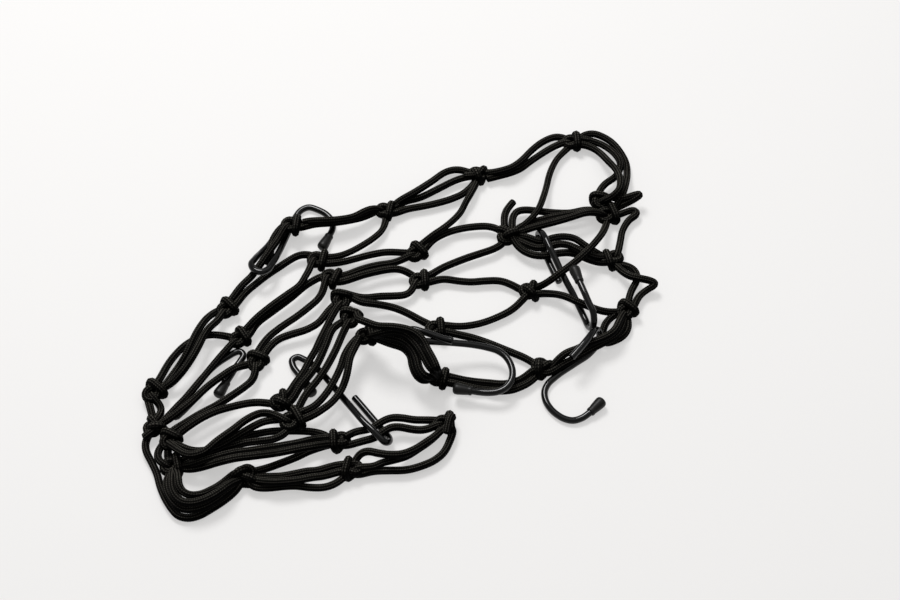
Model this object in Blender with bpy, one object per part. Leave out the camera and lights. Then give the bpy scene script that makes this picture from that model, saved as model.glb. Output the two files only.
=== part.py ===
"""Elastic cargo net: a knotted diamond mesh of braided elastic cord with six wire hooks.

The net lies loosely gathered on the ground and folded over itself on the left. Blender holds it
in metres, with +Z up and the origin on the ground under the middle of the net. Sizes below are in
millimetres. The places of knots, strands and hooks are stated as a known view sees them: across
and down in picture points, and the height above the ground in millimetres. in_net_frame() turns
such places into millimetres in the net's own frame.
"""
import math
from collections import namedtuple

import bmesh
import bpy
import numpy as np
from mathutils import Matrix, Vector

MM = 0.001

# Cord and knots, mm
CORD = 5.0                  # diameter of the braided elastic
CORD_SIDES = 4              # a strand's tube is square, with about the cord's own section
CORD_CORNER = 2.9           # from its middle to its edges
CORD_GAP = 0.9              # clear space between two strands that cross or run side by side
CORD_STRAY = 0.7            # how far the straight stretches of a strand's tube leave its curve
KNOT_LENGTH = 16.0          # from the lobe of a knot to its band
KNOT_WIDTH = 12.5
KNOT_HEIGHT = 11.0
KNOT_AROUND = 7             # faces around a knot
KNOT_BANDS = 4              # and from its top to its underside
PIECE_GAP = 0.3             # between two solids that touch on the real net

# Hooks, mm
WIRE = 4.8                  # diameter of the coated wire
WIRE_SIDES = 8
WIRE_SPACING = 6.5          # between the rings of a hook's wire
TIP_SIDES = 12
TIP_SOCKET = 7.0            # how far the wire goes into its rubber tip
# A tip's section, from the bottom of its socket out round the mouth to its closed end:
# distance from the mouth, radius
TIP_SECTION = (
    (TIP_SOCKET, WIRE / 2 + PIECE_GAP),
    (0.0, WIRE / 2 + PIECE_GAP),
    (0.0, 3.7),
    (4.0, 4.0),
    (10.5, 4.2),
    (12.6, 3.3),
    (13.4, 1.6),
)

# How the strands lie on each other, mm
LAY_STEP = 3.0              # between the places where a strand's height is worked out
LAY_BEND = 42.0             # radius at which a strand comes down from what it passes over
LAY_ROUNDS = 5
FREE_OF_KNOT = 10.0         # two strands of one knot may touch this near to its middle
CLEAR_OF_KNOT = 24.0        # and are a whole cord apart from here on
UNDER_BY = 8.0              # a strand this far below another one passes under it

# The view that places are stated in
VIEW_TILT = math.radians(57.0)      # how steeply it looks down
VIEW_DISTANCE = 1300.0              # mm, from the eye to the ground at the picture's middle
VIEW_SCALE = 1.4                    # picture points for each mm there
VIEW_MIDDLE = (450.0, 300.0)
NET_MIDDLE = (405.6, 316.5)         # the picture point that sees the origin

# Finishes: colour, roughness
BLACK_CORD = ((0.018, 0.017, 0.016, 1.0), 0.85)
BLACK_COATING = ((0.012, 0.012, 0.013, 1.0), 0.25)
BLACK_RUBBER = ((0.028, 0.028, 0.028, 1.0), 0.6)

# Each knot: place, height of its middle, the way its band points from its lobe (degrees in plan,
# anticlockwise from +X), and the section of net that it belongs to.
Knot = namedtuple("Knot", "across down height turn section")
KNOTS = {
    1: Knot(293.0, 224.5, 12.0, 0, 1),
    2: Knot(319.5, 259.5, 8.0, 150, 2),
    3: Knot(332.5, 277.5, 8.5, 160, 3),
    4: Knot(341.0, 299.0, 10.0, 120, 4),
    5: Knot(350.0, 317.0, 15.0, 120, 5),
    6: Knot(367.0, 335.0, 20.0, 10, 6),
    7: Knot(386.5, 211.5, 5.0, 0, 7),
    8: Knot(479.0, 175.5, 5.0, 5, 8),
    9: Knot(573.0, 142.5, 5.0, 0, 9),
    10: Knot(416.5, 253.0, 5.0, 70, 10),
    11: Knot(421.0, 281.0, 5.0, 10, 11),
    12: Knot(437.0, 329.0, 5.0, 0, 12),
    13: Knot(531.0, 292.0, 5.0, 20, 13),
    14: Knot(508.0, 235.0, 7.0, 300, 14),
    15: Knot(608.5, 215.0, 5.0, 20, 15),
    16: Knot(599.0, 200.0, 8.5, 75, 15),
    17: Knot(612.0, 260.5, 5.0, 20, 17),
    18: Knot(626.0, 311.0, 5.0, 45, 18),
    19: Knot(542.0, 369.0, 5.0, 60, 19),
    20: Knot(440.5, 378.0, 6.0, 20, 20),
    21: Knot(227.0, 309.0, 5.0, 40, 21),
    22: Knot(240.0, 337.5, 6.5, 60, 22),
    23: Knot(256.5, 360.5, 6.5, 100, 23),
    24: Knot(154.0, 392.0, 5.0, 0, 24),
    25: Knot(155.5, 427.0, 5.0, 60, 25),
    26: Knot(169.5, 439.0, 9.5, 60, 26),
    27: Knot(173.5, 466.0, 5.0, 20, 27),
    28: Knot(283.0, 402.0, 11.0, 120, 28),
    29: Knot(293.0, 419.0, 11.0, 30, 29),
    30: Knot(338.0, 442.0, 5.0, 180, 30),
    31: Knot(351.0, 470.0, 5.0, 160, 31),
    32: Knot(245.0, 478.0, 5.0, 110, 32),
    33: Knot(446.0, 424.0, 5.0, 0, 33),
}

# Each strand: the knots at its two ends, None where it ends free, and the places it passes
# between them. A third number is its height there. Elsewhere it keeps to the line between the
# heights before and after, or lies on what was laid before it: the lowest strands come first.
Strand = namedtuple("Strand", "start end route")
STRANDS = [
    Strand(18, 17, ((626, 302), (631.6, 290), (637, 279.5), (635, 270), (629, 265), (621, 263))),
    Strand(18, 17, ((634, 300), (641, 294), (650, 288), (656, 284), (651, 281), (641, 278.6),
                    (627, 275), (618, 268))),
    Strand(15, 17, ((617, 214), (626, 212), (635, 209), (637, 213), (629, 220), (622, 232),
                    (620, 243.6), (617, 252))),
    Strand(15, 16, ((615, 208, 4), (625, 204, 4), (636, 198, 5), (641, 194, 8), (636, 194.5, 12),
                    (622, 199, 11))),
    Strand(13, 18, ((541, 293), (556, 294, 6), (567, 297, 9), (577, 301.5, 11.5), (588, 306, 10),
                    (598, 310, 5), (611, 313))),
    Strand(19, 20, ((534, 374), (519.5, 380.5, 3), (504, 384, 3), (489, 383, 3), (470, 381, 3),
                    (452, 378.5))),
    Strand(19, 20, ((535, 380), (524, 385.5, 3), (512, 390, 3), (498, 391, 3), (480, 389.5, 3),
                    (460, 385, 3))),
    Strand(9, 8, ((562, 143), (553, 147), (543, 153), (531, 161), (520, 169), (507, 174),
                  (493, 177))),
    Strand(9, 8, ((568, 137), (560, 135), (551, 138), (541, 143), (531, 151), (522, 160),
                  (513, 166.6), (500.6, 171), (491, 173))),
    Strand(7, 8, ((397, 210), (419, 207), (438, 203), (454, 198), (466, 192), (474, 184))),
    Strand(7, 8, ((397, 204), (419, 198), (438, 189), (454, 181), (467, 176))),
    Strand(7, 8, ((395, 202), (402, 199), (415, 192), (431, 182), (446, 172), (461, 169),
                  (471, 171))),
    Strand(14, 10, ((505, 229), (492, 226.5), (478, 226.5), (465, 228), (452, 231), (440, 236),
                    (431, 241), (424, 247))),
    Strand(8, 10, ((476, 183), (473, 190), (467, 200), (460, 213), (450, 223), (439, 231),
                   (431, 236), (424, 243))),
    Strand(7, 2, ((387, 221), (383.5, 229), (375, 237), (363, 245), (350, 252), (337, 257))),
    Strand(10, 2, ((407, 252.5), (397, 252), (385, 252.3), (370, 255), (352.5, 259.5),
                   (337, 263))),
    Strand(10, 3, ((409, 257), (401, 261), (393, 263), (379, 265), (366, 268), (354, 272),
                   (344, 276))),
    Strand(11, 3, ((414, 275), (408, 271), (400, 269), (388, 269.5), (375, 272), (361, 275.5),
                   (346, 280))),
    Strand(11, 4, ((420, 287), (415, 292.5), (406, 295), (393, 296), (379, 296.5), (366, 298),
                   (355, 299))),
    Strand(12, 4, ((427, 325), (418, 319), (408, 313.5), (393, 307.5), (379, 304.6), (366, 303),
                   (354, 303))),
    Strand(11, 14, ((431, 274), (440, 269), (454, 263), (467, 258), (480.5, 253.5), (494, 249),
                    (503, 245))),
    Strand(11, 13, ((433, 278), (445, 279), (458, 281), (472, 282), (485, 281), (500, 281),
                    (511, 284), (521, 289))),
    Strand(12, 13, ((447, 328), (462.5, 326.5), (480, 323.5), (498, 317), (511.6, 310),
                    (522, 302))),
    Strand(12, 19, ((447, 333), (462.5, 335.4), (476, 339, 3), (489, 343.4, 3), (503, 349, 3),
                    (520.5, 356), (533, 361))),
    Strand(18, 18, ((614, 315), (607, 321), (606, 328, 3), (607.5, 336, 3), (610.5, 342.5, 3),
                    (616, 341, 3), (623, 335), (630, 327), (630, 319))),
    Strand(24, 25, ((150, 401), (151, 411), (152, 419))),
    Strand(24, 25, ((161, 401, 3), (163, 409, 3), (161, 418, 3))),
    Strand(25, 32, ((148, 432), (143, 440), (144, 451), (149, 462, 3), (154, 474, 3),
                    (156, 487, 3), (160, 499, 3), (167, 510, 3), (177, 518, 3), (188, 520, 3),
                    (199, 517, 3), (210, 511, 3), (222, 505, 3), (235, 494))),
    Strand(26, 27, ((160, 444), (156.5, 453), (157, 462), (163, 468))),
    Strand(26, 27, ((167, 446), (168, 455))),
    Strand(27, 32, ((167, 475), (163, 484), (165, 495), (171, 503), (180, 507.5), (191, 508),
                    (204, 504), (216, 497), (228, 488.5), (238, 483))),
    Strand(27, 32, ((172, 477), (172, 487), (177, 496), (187, 500), (201, 498), (215, 492),
                    (228, 484), (237, 479))),
    Strand(27, 32, ((178, 475), (183, 485), (192, 490), (206.5, 487.5), (222, 481.5),
                    (234, 476))),
    Strand(32, 30, ((255, 473), (268, 468), (284, 462), (299, 456), (310, 450.6), (322, 447))),
    Strand(32, 31, ((251, 487), (268, 487), (284, 486.5), (292, 487), (306, 488.7), (321, 489.4),
                    (336.5, 485), (344, 479))),
    Strand(32, 31, ((254, 478.5), (268, 479), (284, 480.5), (299, 483), (314, 485), (329.5, 482),
                    (341, 475))),
    Strand(32, 31, ((254, 475), (264, 475), (280, 474.5), (295, 473), (306.5, 472), (318, 471),
                    (329.5, 467), (340, 465))),
    Strand(31, 33, ((362, 470), (373, 470.5), (390, 470.5), (406, 470), (423, 465.5), (435, 460),
                    (445, 451), (449.5, 442), (449, 434))),
    Strand(31, 33, ((361, 463), (369, 468), (381.5, 463), (394, 460), (406, 456.5), (420, 448),
                    (433, 439), (441, 432))),
    Strand(31, 33, ((354, 459), (359, 452.5), (367, 451), (377, 453), (390, 454.7), (402, 454),
                    (415, 449), (427, 441.5), (438, 434))),
    Strand(30, 33, ((351, 443), (365, 440.6), (376, 437, 8.1), (383, 432, 8.1), (391, 427.5, 8.1),
                    (399, 427), (410, 429), (423, 430.5), (435, 430))),
    Strand(30, 33, ((346, 434), (357, 430.7), (367, 430), (376, 425.5, 8.1), (383, 421, 8.1), (391, 418),
                    (402, 418), (415, 420), (427, 420), (437, 420))),
    Strand(14, 17, ((512, 243), (522, 250.4), (533.6, 255, 8.1), (545, 255.8, 8.1),
                    (556.5, 253.5, 8.1), (571.5, 253, 7), (583, 257), (594, 262), (603, 264))),
    Strand(14, 17, ((517, 239), (527, 245), (537, 248, 8.1), (549, 246.6, 8.1),
                    (560, 244, 8.1), (570, 245.5), (581, 251), (592, 257), (602, 260))),
    Strand(14, 17, ((519, 235), (527, 236), (534, 240, 8.1), (541, 241.5, 8.1),
                    (552.7, 238, 8.1), (564, 236.6, 8), (575.7, 239), (583, 244), (593, 251),
                    (603, 256))),
    Strand(14, 15, ((510, 225), (512, 217), (516, 212), (524, 210), (534, 210.6), (545, 212),
                    (557, 213), (570, 213), (585, 210), (598, 209))),
    Strand(14, 15, ((518, 227), (533.6, 222), (549, 218), (568, 214.4), (585, 211.5),
                    (598, 211))),
    Strand(14, 15, ((518, 235), (526, 229.8), (541, 225.5), (556.5, 221.5), (572, 217), (587, 212.5),
                    (598, 212))),
    Strand(14, None, ((503, 224), (504, 216), (508, 208), (514, 201))),
    Strand(9, 14, ((569, 149), (560, 155), (553.4, 165), (549, 176), (546.5, 186.5),
                   (543.5, 196.5), (539, 208), (529, 220.6), (519, 229))),
    Strand(9, 15, ((580, 135), (590, 133), (602, 136.5), (613, 143.5), (621, 153), (626, 163),
                   (627, 174), (625, 187), (620, 200), (615, 208))),
    Strand(9, 16, ((583, 140), (594, 141.5), (606, 147), (615, 154), (620.5, 163),
                   (619, 172), (612, 179.5), (604, 184), (600, 191))),
    Strand(9, 16, ((582, 143.5), (590, 146), (600, 153), (609, 162), (617, 171), (620.5, 180),
                   (619, 190), (613, 197), (607, 200))),
    Strand(13, 15, ((538, 288), (549.5, 281, 12), (560, 273, 16.5), (571, 265, 16.5),
                    (583, 255, 13), (594, 243.6, 9), (603, 232), (607, 224))),
    Strand(18, 19, ((620, 320), (615, 328.5), (608, 336, 8), (599, 342, 8.6), (589, 349, 8.6),
                    (577, 357, 8.6), (565, 363, 7), (552, 368))),
    Strand(18, 19, ((616, 322), (608, 330), (600, 337, 8.6), (588, 343.5, 8.6),
                    (577, 349, 8.6), (566, 353, 7), (557, 359), (548, 364))),
    Strand(1, 7, ((302, 224), (317, 224), (333, 223), (352, 220), (368, 216), (377, 212))),
    Strand(1, 7, ((303, 221), (320, 220.5), (338, 219.5), (354, 216.5), (366, 210.5), (377, 207))),
    Strand(1, None, ((284, 221.5, 10), (279, 229, 9), (274, 237, 8.2), (271, 245, 7.5),
                     (270.5, 253, 5.5), (269.5, 260, 4.5), (268, 266, 3.5))),
    Strand(2, 21, ((314, 254), (307, 252.5), (299, 255), (290, 260), (280, 266.5), (268, 274.5, 4),
                   (257, 283, 4), (246, 292), (236, 302))),
    Strand(1, 21, ((285, 230.5), (277, 241, 11.5), (269, 252, 10), (262, 262, 8), (257, 269, 7.5),
                   (251, 277, 7), (244, 283.5), (236, 292), (230, 301))),
    Strand(3, 22, ((324, 273), (317, 278), (305, 286), (292, 297), (278, 307.5), (265, 317),
                   (252, 326.5), (245, 333))),
    Strand(2, 22, ((313.5, 265.5), (307, 273.5), (300, 285), (288, 294), (274, 304), (260, 315),
                   (248, 325.5), (241, 331))),
    Strand(3, 23, ((328, 285), (321, 296), (309, 307), (296, 317), (282.5, 326), (272, 334),
                   (263, 343), (258, 352))),
    Strand(4, 23, ((333, 304), (327, 312), (320, 321.5), (308, 329), (291, 334.5), (278, 339.5),
                   (269.5, 346), (262.5, 354))),
    Strand(22, 24, ((231, 337), (224, 335), (215, 334.5), (206, 335.5), (197, 338.5), (187, 344),
                    (178, 352), (169, 363), (163, 373), (157, 384))),
    Strand(21, 24, ((217, 310), (210, 315), (203, 323), (197, 332), (192, 342), (187, 353),
                    (180, 365), (172, 376), (164, 386))),
    Strand(21, 24, ((223, 317), (212, 325), (204, 335), (199, 345), (193, 356), (185, 368),
                    (176, 379), (167, 388))),
    Strand(22, 25, ((235, 343), (226, 350.5), (215, 363), (201, 380), (186, 397.6), (174, 410),
                    (164, 420))),
    Strand(23, 25, ((247, 363), (236, 367), (225, 374), (206.5, 387.5), (191, 402), (176, 414),
                    (165, 423))),
    Strand(23, 26, ((259, 370), (256, 377), (247, 385), (232, 395.5), (217, 405), (201, 413.5),
                    (187, 422), (177, 430))),
    Strand(30, 27, ((327, 434), (314, 432), (300, 431, 4), (286, 431, 3), (276, 431, 3),
                    (261, 433), (248, 436), (236, 441), (220, 448), (203, 456), (186, 462))),
    Strand(29, 27, ((287, 434), (276, 438.5), (261, 441), (245, 443), (232, 447), (214, 452),
                    (198, 458), (184, 464))),
    Strand(30, 27, ((327, 438), (314, 439), (299, 442.5), (276, 446.5), (253, 450), (232, 453),
                    (213, 458), (198, 463), (185, 467))),
    Strand(30, 27, ((329, 444), (314, 446), (297, 449), (276, 453), (253, 456), (236, 458),
                    (219, 462), (202, 467), (186, 470))),
    Strand(28, 26, ((272, 401.6), (252, 402.7), (232, 406.7), (214, 412), (199, 419.5),
                    (187, 427.5), (179, 433))),
    Strand(29, 26, ((278, 420), (268, 420), (257, 424.5), (245, 431), (232, 439), (216, 447.5),
                    (200, 451), (186, 449), (177, 444))),
    Strand(29, 26, ((281, 415), (273, 413.5), (264, 412.5), (255, 415), (245, 420.5), (234, 429),
                    (217, 441), (203, 452), (190, 455), (178, 450))),
    Strand(4, 28, ((337, 306), (332, 316), (325, 330), (320, 340), (315, 351), (309.5, 360),
                   (304, 371), (297, 381), (288, 391))),
    Strand(5, 28, ((341, 319), (335, 323), (331, 331), (327, 342), (322, 354), (316, 366),
                   (308, 377), (299, 387), (291, 395))),
    Strand(5, 29, ((347, 324), (342, 335), (337, 347), (331, 359), (324, 371), (316, 382),
                   (308, 391.5), (301, 402), (298, 410))),
    Strand(6, 29, ((358, 337), (350, 345), (345, 354), (341, 366), (335, 379), (328, 391),
                   (318, 403), (308, 412))),
    Strand(6, 29, ((360, 342), (354, 349), (350, 358), (348, 369), (345, 381), (340, 392),
                   (332, 402), (320, 411), (309, 418))),
    Strand(20, 6, ((432, 378), (422, 373, 13), (414, 362, 19), (406, 354, 22), (396, 351, 23),
                   (386, 348, 22), (377, 343, 21))),
    Strand(20, 6, ((435.5, 373), (427.5, 366, 17), (420, 355, 24), (414, 345, 29), (406, 337, 31),
                   (394, 334, 30), (384, 334.5, 27), (375, 335.5, 22))),
    Strand(20, 5, ((438, 371), (434, 361, 18), (428, 350, 26), (423, 340, 31), (414, 332, 33),
                   (402, 328, 33), (390, 326.5, 31), (378, 326, 27), (366, 322, 20),
                   (358, 319, 17))),
]

# Each hook: the run of its wire from the cut end of the eye, round the eye, down the shank and
# round the bend to the mouth of the rubber tip, each place with its height, and a place on the
# line that the tip points along.
Hook = namedtuple("Hook", "route tip_toward")
HOOKS = [
    Hook(((274, 238, 2.6), (268, 246, 2.9), (261.5, 252.5, 5.5), (254.5, 259.5, 11.5),
          (251.3, 264.5, 14.5), (254, 269.5, 15.5), (260.6, 272, 15.6), (267.5, 269.5, 15),
          (273, 262, 13.4), (280, 250, 9), (284, 241.5, 5.8), (287.5, 234, 3.4), (291, 226, 2.8),
          (296, 216.5, 2.8), (301, 210.5, 2.8), (308, 207.5, 2.8), (318, 210, 2.8),
          (327, 215, 2.8), (332, 221, 2.8), (332.5, 229, 3.2), (329.5, 235.5, 4.0)),
         (321, 249, 4.3)),
    Hook(((559.5, 282.5, 2.6), (553.7, 272, 2.6), (548, 260, 2.6), (541, 244, 2.6),
          (538.5, 237, 2.8), (538.5, 233.7, 4.6), (539.5, 232.5, 8), (541.8, 233, 12.4),
          (545, 237.5, 15.2), (549, 246, 15.4), (555, 258, 14.2), (561, 271, 12), (567, 283, 9.5),
          (573, 294, 7), (579, 306.5, 5), (585, 319, 4), (589, 327, 6), (592.3, 327.5, 11),
          (594, 321, 17), (593, 311.5, 22), (589, 303, 24), (584.5, 292.5, 25),
          (579.7, 282, 25)), (573.6, 267.5, 25)),
    Hook(((200, 394, 2.8), (190, 404, 2.8), (181, 413, 2.8), (175.5, 417, 2.8), (172, 415, 2.8),
          (175, 409, 2.8), (184, 399.5, 2.8), (192, 390, 2.8), (205, 375, 2.8), (218, 363, 2.8),
          (228, 356.5, 2.8), (234, 353, 2.8), (239.5, 351.5, 2.8), (243.5, 355, 2.8),
          (240.5, 361, 2.8), (236, 367, 2.8), (231, 375, 3), (226.5, 382, 4)),
         (218, 395, 4.9)),
    Hook(((354, 397, 2.6), (361, 405, 2.6), (370, 415.5, 2.6), (379, 426, 2.6), (386, 434, 3.2),
          (389.3, 438.5, 5), (388.5, 442, 8.5), (384.5, 441.8, 12), (379, 436.5, 14),
          (372, 429.5, 14.6), (364, 422, 14), (354, 410.5, 12), (344, 399, 9.5),
          (333, 386, 7.5), (322, 373.5, 6), (313, 365, 5), (304, 359.5, 4), (297, 357.2, 3.4),
          (292.3, 360, 3), (293, 366, 2.8), (298, 373.5, 3), (304, 381.5, 4)),
         (314, 396, 5)),
    Hook(((453, 341, 22), (445, 339, 22), (437, 336.5, 22.5), (422, 331.5, 23), (411, 329.5, 23),
          (405, 332.5, 23), (409, 338.5, 22.5), (424, 341, 21), (440, 342, 19), (455, 343, 17),
          (474, 345, 14.5), (487, 347.5, 13), (497, 350.5, 12.5), (504, 355, 12.5),
          (509.5, 362, 12.5), (512.6, 373, 12.5), (511, 381, 12.5), (506, 387.5, 12),
          (498, 391.6, 11.2), (489, 392.7, 10.5), (480, 392.2, 10.1), (472, 391, 10)),
         (452, 388, 10)),
    Hook(((571.5, 357.5, 19.4), (580, 348, 20), (588, 338.5, 20), (593, 332, 17.5),
          (596.5, 329.5, 13), (599, 331.5, 9), (599.5, 337, 5.5), (596.8, 344.5, 3.2),
          (589, 354, 2.7), (575, 363.5, 2.6), (555.4, 377, 2.6), (548, 384, 2.6),
          (544.6, 391.4, 2.6), (545.5, 400, 2.6), (550, 408, 2.6), (557, 414.6, 2.6),
          (565, 419, 2.6), (573, 420.5, 2.6), (582, 418, 3.1), (590, 412.5, 4)),
         (602, 401, 4.9)),
]


def in_net_frame(places):
    """Turn rows of (across, down, height) in the view into x, y, z in mm in the net's frame."""
    right = np.array((1.0, 0.0, 0.0))
    up = np.array((0.0, math.sin(VIEW_TILT), math.cos(VIEW_TILT)))
    ahead = np.array((0.0, math.cos(VIEW_TILT), -math.sin(VIEW_TILT)))
    eye = -VIEW_DISTANCE * ahead

    def seen(rows):
        sight = (VIEW_SCALE * VIEW_DISTANCE * ahead
                 + np.outer(rows[:, 0] - VIEW_MIDDLE[0], right)
                 + np.outer(VIEW_MIDDLE[1] - rows[:, 1], up))
        return eye + ((rows[:, 2] - eye[2]) / sight[:, 2])[:, None] * sight

    return seen(np.asarray(places, dtype=float)) - seen(np.array([(*NET_MIDDLE, 0.0)]))


def run_along(points):
    """The distance of each point from the first, along the line through them."""
    return np.concatenate(([0.0], np.cumsum(np.linalg.norm(np.diff(points, axis=0), axis=1))))


def with_heights(places):
    """Give every place of a route a height, from the stated ones before and after it."""
    run = run_along(np.array([place[:2] for place in places], dtype=float))
    stated = [i for i, place in enumerate(places) if len(place) == 3]
    heights = np.interp(run, run[stated], [places[i][2] for i in stated])
    return np.array([(*place[:2], height) for place, height in zip(places, heights)])


def place_along(points, distance):
    """The places at one or more distances along the line through the points."""
    run = run_along(points)
    return np.stack([np.interp(distance, run, column) for column in points.T], axis=-1)


def smooth_curve(points, spacing):
    """A smooth curve through the points, evenly spaced."""
    points = np.asarray(points, dtype=float)
    run = run_along(points)
    slopes = np.gradient(points, run, axis=0)
    t = np.linspace(0.0, 1.0, 12, endpoint=False)[:, None]
    spans = [
        (2 * t**3 - 3 * t**2 + 1) * points[i] + (3 * t**2 - 2 * t**3) * points[i + 1]
        + width * ((t**3 - 2 * t**2 + t) * slopes[i] + (t**3 - t**2) * slopes[i + 1])
        for i, width in enumerate(np.diff(run))
    ]
    curve = np.vstack([*spans, points[-1:]])
    length = run_along(curve)[-1]
    return place_along(curve, np.linspace(0.0, length, max(2, round(length / spacing)) + 1))


def ways_along(line):
    """The unit direction of the line at each of its points."""
    steps = np.diff(line, axis=0)
    steps /= np.linalg.norm(steps, axis=1)[:, None]
    ways = np.vstack([steps[:1], steps[:-1] + steps[1:], steps[-1:]])
    return ways / np.linalg.norm(ways, axis=1)[:, None]


def corners_of(line, stray):
    """The few points of the line that straight stretches need to stay this near to it."""
    off = line - line[0]
    span = np.linalg.norm(off[-1])
    if span > stray:
        off = off - np.outer(off @ off[-1], off[-1]) / span**2
    off = np.linalg.norm(off, axis=1)
    worst = off.argmax()
    if off[worst] <= stray:
        return line[[0, -1]]
    before = corners_of(line[:worst + 1], stray)
    return np.vstack([before[:-1], corners_of(line[worst:], stray)])


def ease(value, start, end):
    """0 up to start, 1 from end on, and smooth between."""
    t = np.clip((value - start) / (end - start), 0.0, 1.0)
    return t * t * (3.0 - 2.0 * t)


def height_over(line, own, thing, reach, rise, under_by):
    """How high each point of the line must be to pass over a thing, -inf where it is clear of it.

    reach and rise are the half width and half height of what must stay clear round the thing's
    points. A point whose own height is under_by or more below the thing passes under it.
    """
    away = np.linalg.norm(line[:, None, :2] - thing[None, :, :2], axis=2) / reach
    over = thing[:, 2] + rise * np.sqrt(np.maximum(1.0 - away**2, 0.0))
    passes = (away < 1.0) & (thing[:, 2] < own[:, None] + under_by)
    return np.where(passes, over, -np.inf).max(axis=1)


def lay_strand(strand, laid, hook_lines):
    """The centre line of a strand in mm, lifted over the strands, knots and hooks below it.

    laid holds each strand below with its knots, and hook_lines each line of a hook's wire or tip
    with its radius.
    """
    own_knots = {number for number in (strand.start, strand.end) if number}
    last = [KNOTS[strand.end][:3]] if strand.end else []
    places = with_heights([KNOTS[strand.start][:3], *strand.route, *last])
    places = smooth_curve(places, LAY_STEP * VIEW_SCALE)
    own = places[:, 2].copy()
    middles = {number: in_net_frame([knot[:3]]) for number, knot in KNOTS.items()}
    beside = CORD + CORD_GAP
    past_knot = (CORD + KNOT_WIDTH) / 2 + PIECE_GAP
    over_knot = (CORD + KNOT_HEIGHT) / 2 + PIECE_GAP
    for _ in range(LAY_ROUNDS):
        line = in_net_frame(places)
        from_knots = {number: np.linalg.norm(line - middles[number], axis=1)
                      for number in own_knots}
        need = np.maximum(own, CORD / 2)
        for other, other_knots in laid:
            over = height_over(line, own, other, beside, beside, UNDER_BY)
            apart = np.ones(len(line))
            for number in own_knots & other_knots:
                apart = np.minimum(apart, ease(from_knots[number], FREE_OF_KNOT, CLEAR_OF_KNOT))
            need = np.maximum(need, own + apart * np.maximum(over - own, 0.0))
        for hook_line, radius in hook_lines:
            past_hook = CORD_CORNER + radius + PIECE_GAP
            over = height_over(line, own, hook_line, past_hook, past_hook, 0.0)
            need = np.maximum(need, over)
        for number, middle in middles.items():
            if number not in own_knots:
                over = height_over(line, own, middle, past_knot, over_knot, 0.0)
                need = np.maximum(need, over)
        run = run_along(line)
        draped = (need - (run[:, None] - run) ** 2 / (2 * LAY_BEND)).max(axis=1)
        held = np.zeros(len(line))
        for away in from_knots.values():
            held = np.maximum(held, 1.0 - ease(away, KNOT_WIDTH / 4, KNOT_LENGTH))
        places[:, 2] = held * own + (1.0 - held) * draped
    return in_net_frame(places)


def finish(name, look):
    colour, roughness = look
    material = bpy.data.materials.new(name + "_finish")
    material.use_nodes = True
    shader = material.node_tree.nodes["Principled BSDF"]
    shader.inputs["Base Color"].default_value = colour
    shader.inputs["Roughness"].default_value = roughness
    shader.inputs["Metallic"].default_value = 0.0
    return material


def add_object(name, shape, look=None):
    """An object made of a bmesh in mm, with its faces turned out."""
    bmesh.ops.recalc_face_normals(shape, faces=shape.faces)
    bmesh.ops.scale(shape, vec=(MM, MM, MM), verts=shape.verts)
    mesh = bpy.data.meshes.new(name)
    shape.to_mesh(mesh)
    shape.free()
    piece = bpy.data.objects.new(name, mesh)
    bpy.context.collection.objects.link(piece)
    if look:
        mesh.materials.append(finish(name, look))
    return piece


def skin(rings):
    """A closed bmesh over rings of points, with a flat face on the first and on the last."""
    shape = bmesh.new()
    rows = [[shape.verts.new(point) for point in ring] for ring in rings]
    for row, after in zip(rows, rows[1:]):
        for i in range(len(row)):
            j = (i + 1) % len(row)
            shape.faces.new((row[i], row[j], after[j], after[i]))
    shape.faces.new(rows[0])
    shape.faces.new(rows[-1])
    return shape


def circle(middle, side, top, radius, sides, turn=0.0):
    angles = [turn + 2 * math.pi * i / sides for i in range(sides)]
    return [middle + radius * (math.cos(a) * side + math.sin(a) * top) for a in angles]


def cord_tube(line, ways):
    """A strand's tube, flat along its top and its underside."""
    rings = []
    for middle, along in zip(line, ways):
        side = Vector(along).cross(Vector((0.0, 0.0, 1.0))).normalized()
        top = side.cross(Vector(along)).normalized()
        rings.append(circle(Vector(middle), side, top, CORD_CORNER, CORD_SIDES, math.pi / 4))
    return skin(rings)


def cord_halves(line):
    """A strand's tube in two halves, which meet at its middle on one plane across it."""
    middle = run_along(line)[-1] / 2
    cut = place_along(line, middle)
    across = np.diff(place_along(line, [middle - LAY_STEP / 2, middle + LAY_STEP / 2]), axis=0)[0]
    across /= np.linalg.norm(across)
    passed = run_along(line) > middle
    near = np.vstack([line[~passed][:-1], cut - across * PIECE_GAP / 2])
    far = np.vstack([cut + across * PIECE_GAP / 2, line[passed][1:]])
    near = corners_of(near, CORD_STRAY)
    far = corners_of(far, CORD_STRAY)
    near_ways = ways_along(near)
    far_ways = ways_along(far)
    near_ways[-1] = across
    far_ways[0] = across
    return cord_tube(near, near_ways), cord_tube(far, far_ways)


def wire_tube(line):
    """A hook's wire. Each ring is turned as little as can be from the one before it."""
    rings = []
    top = Vector((0.0, 0.0, 1.0))
    for middle, along in zip(line, ways_along(line)):
        side = Vector(along).cross(top).normalized()
        top = side.cross(Vector(along)).normalized()
        rings.append(circle(Vector(middle), side, top, WIRE / 2, WIRE_SIDES,
                            math.pi / WIRE_SIDES))
    return skin(rings)


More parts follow.
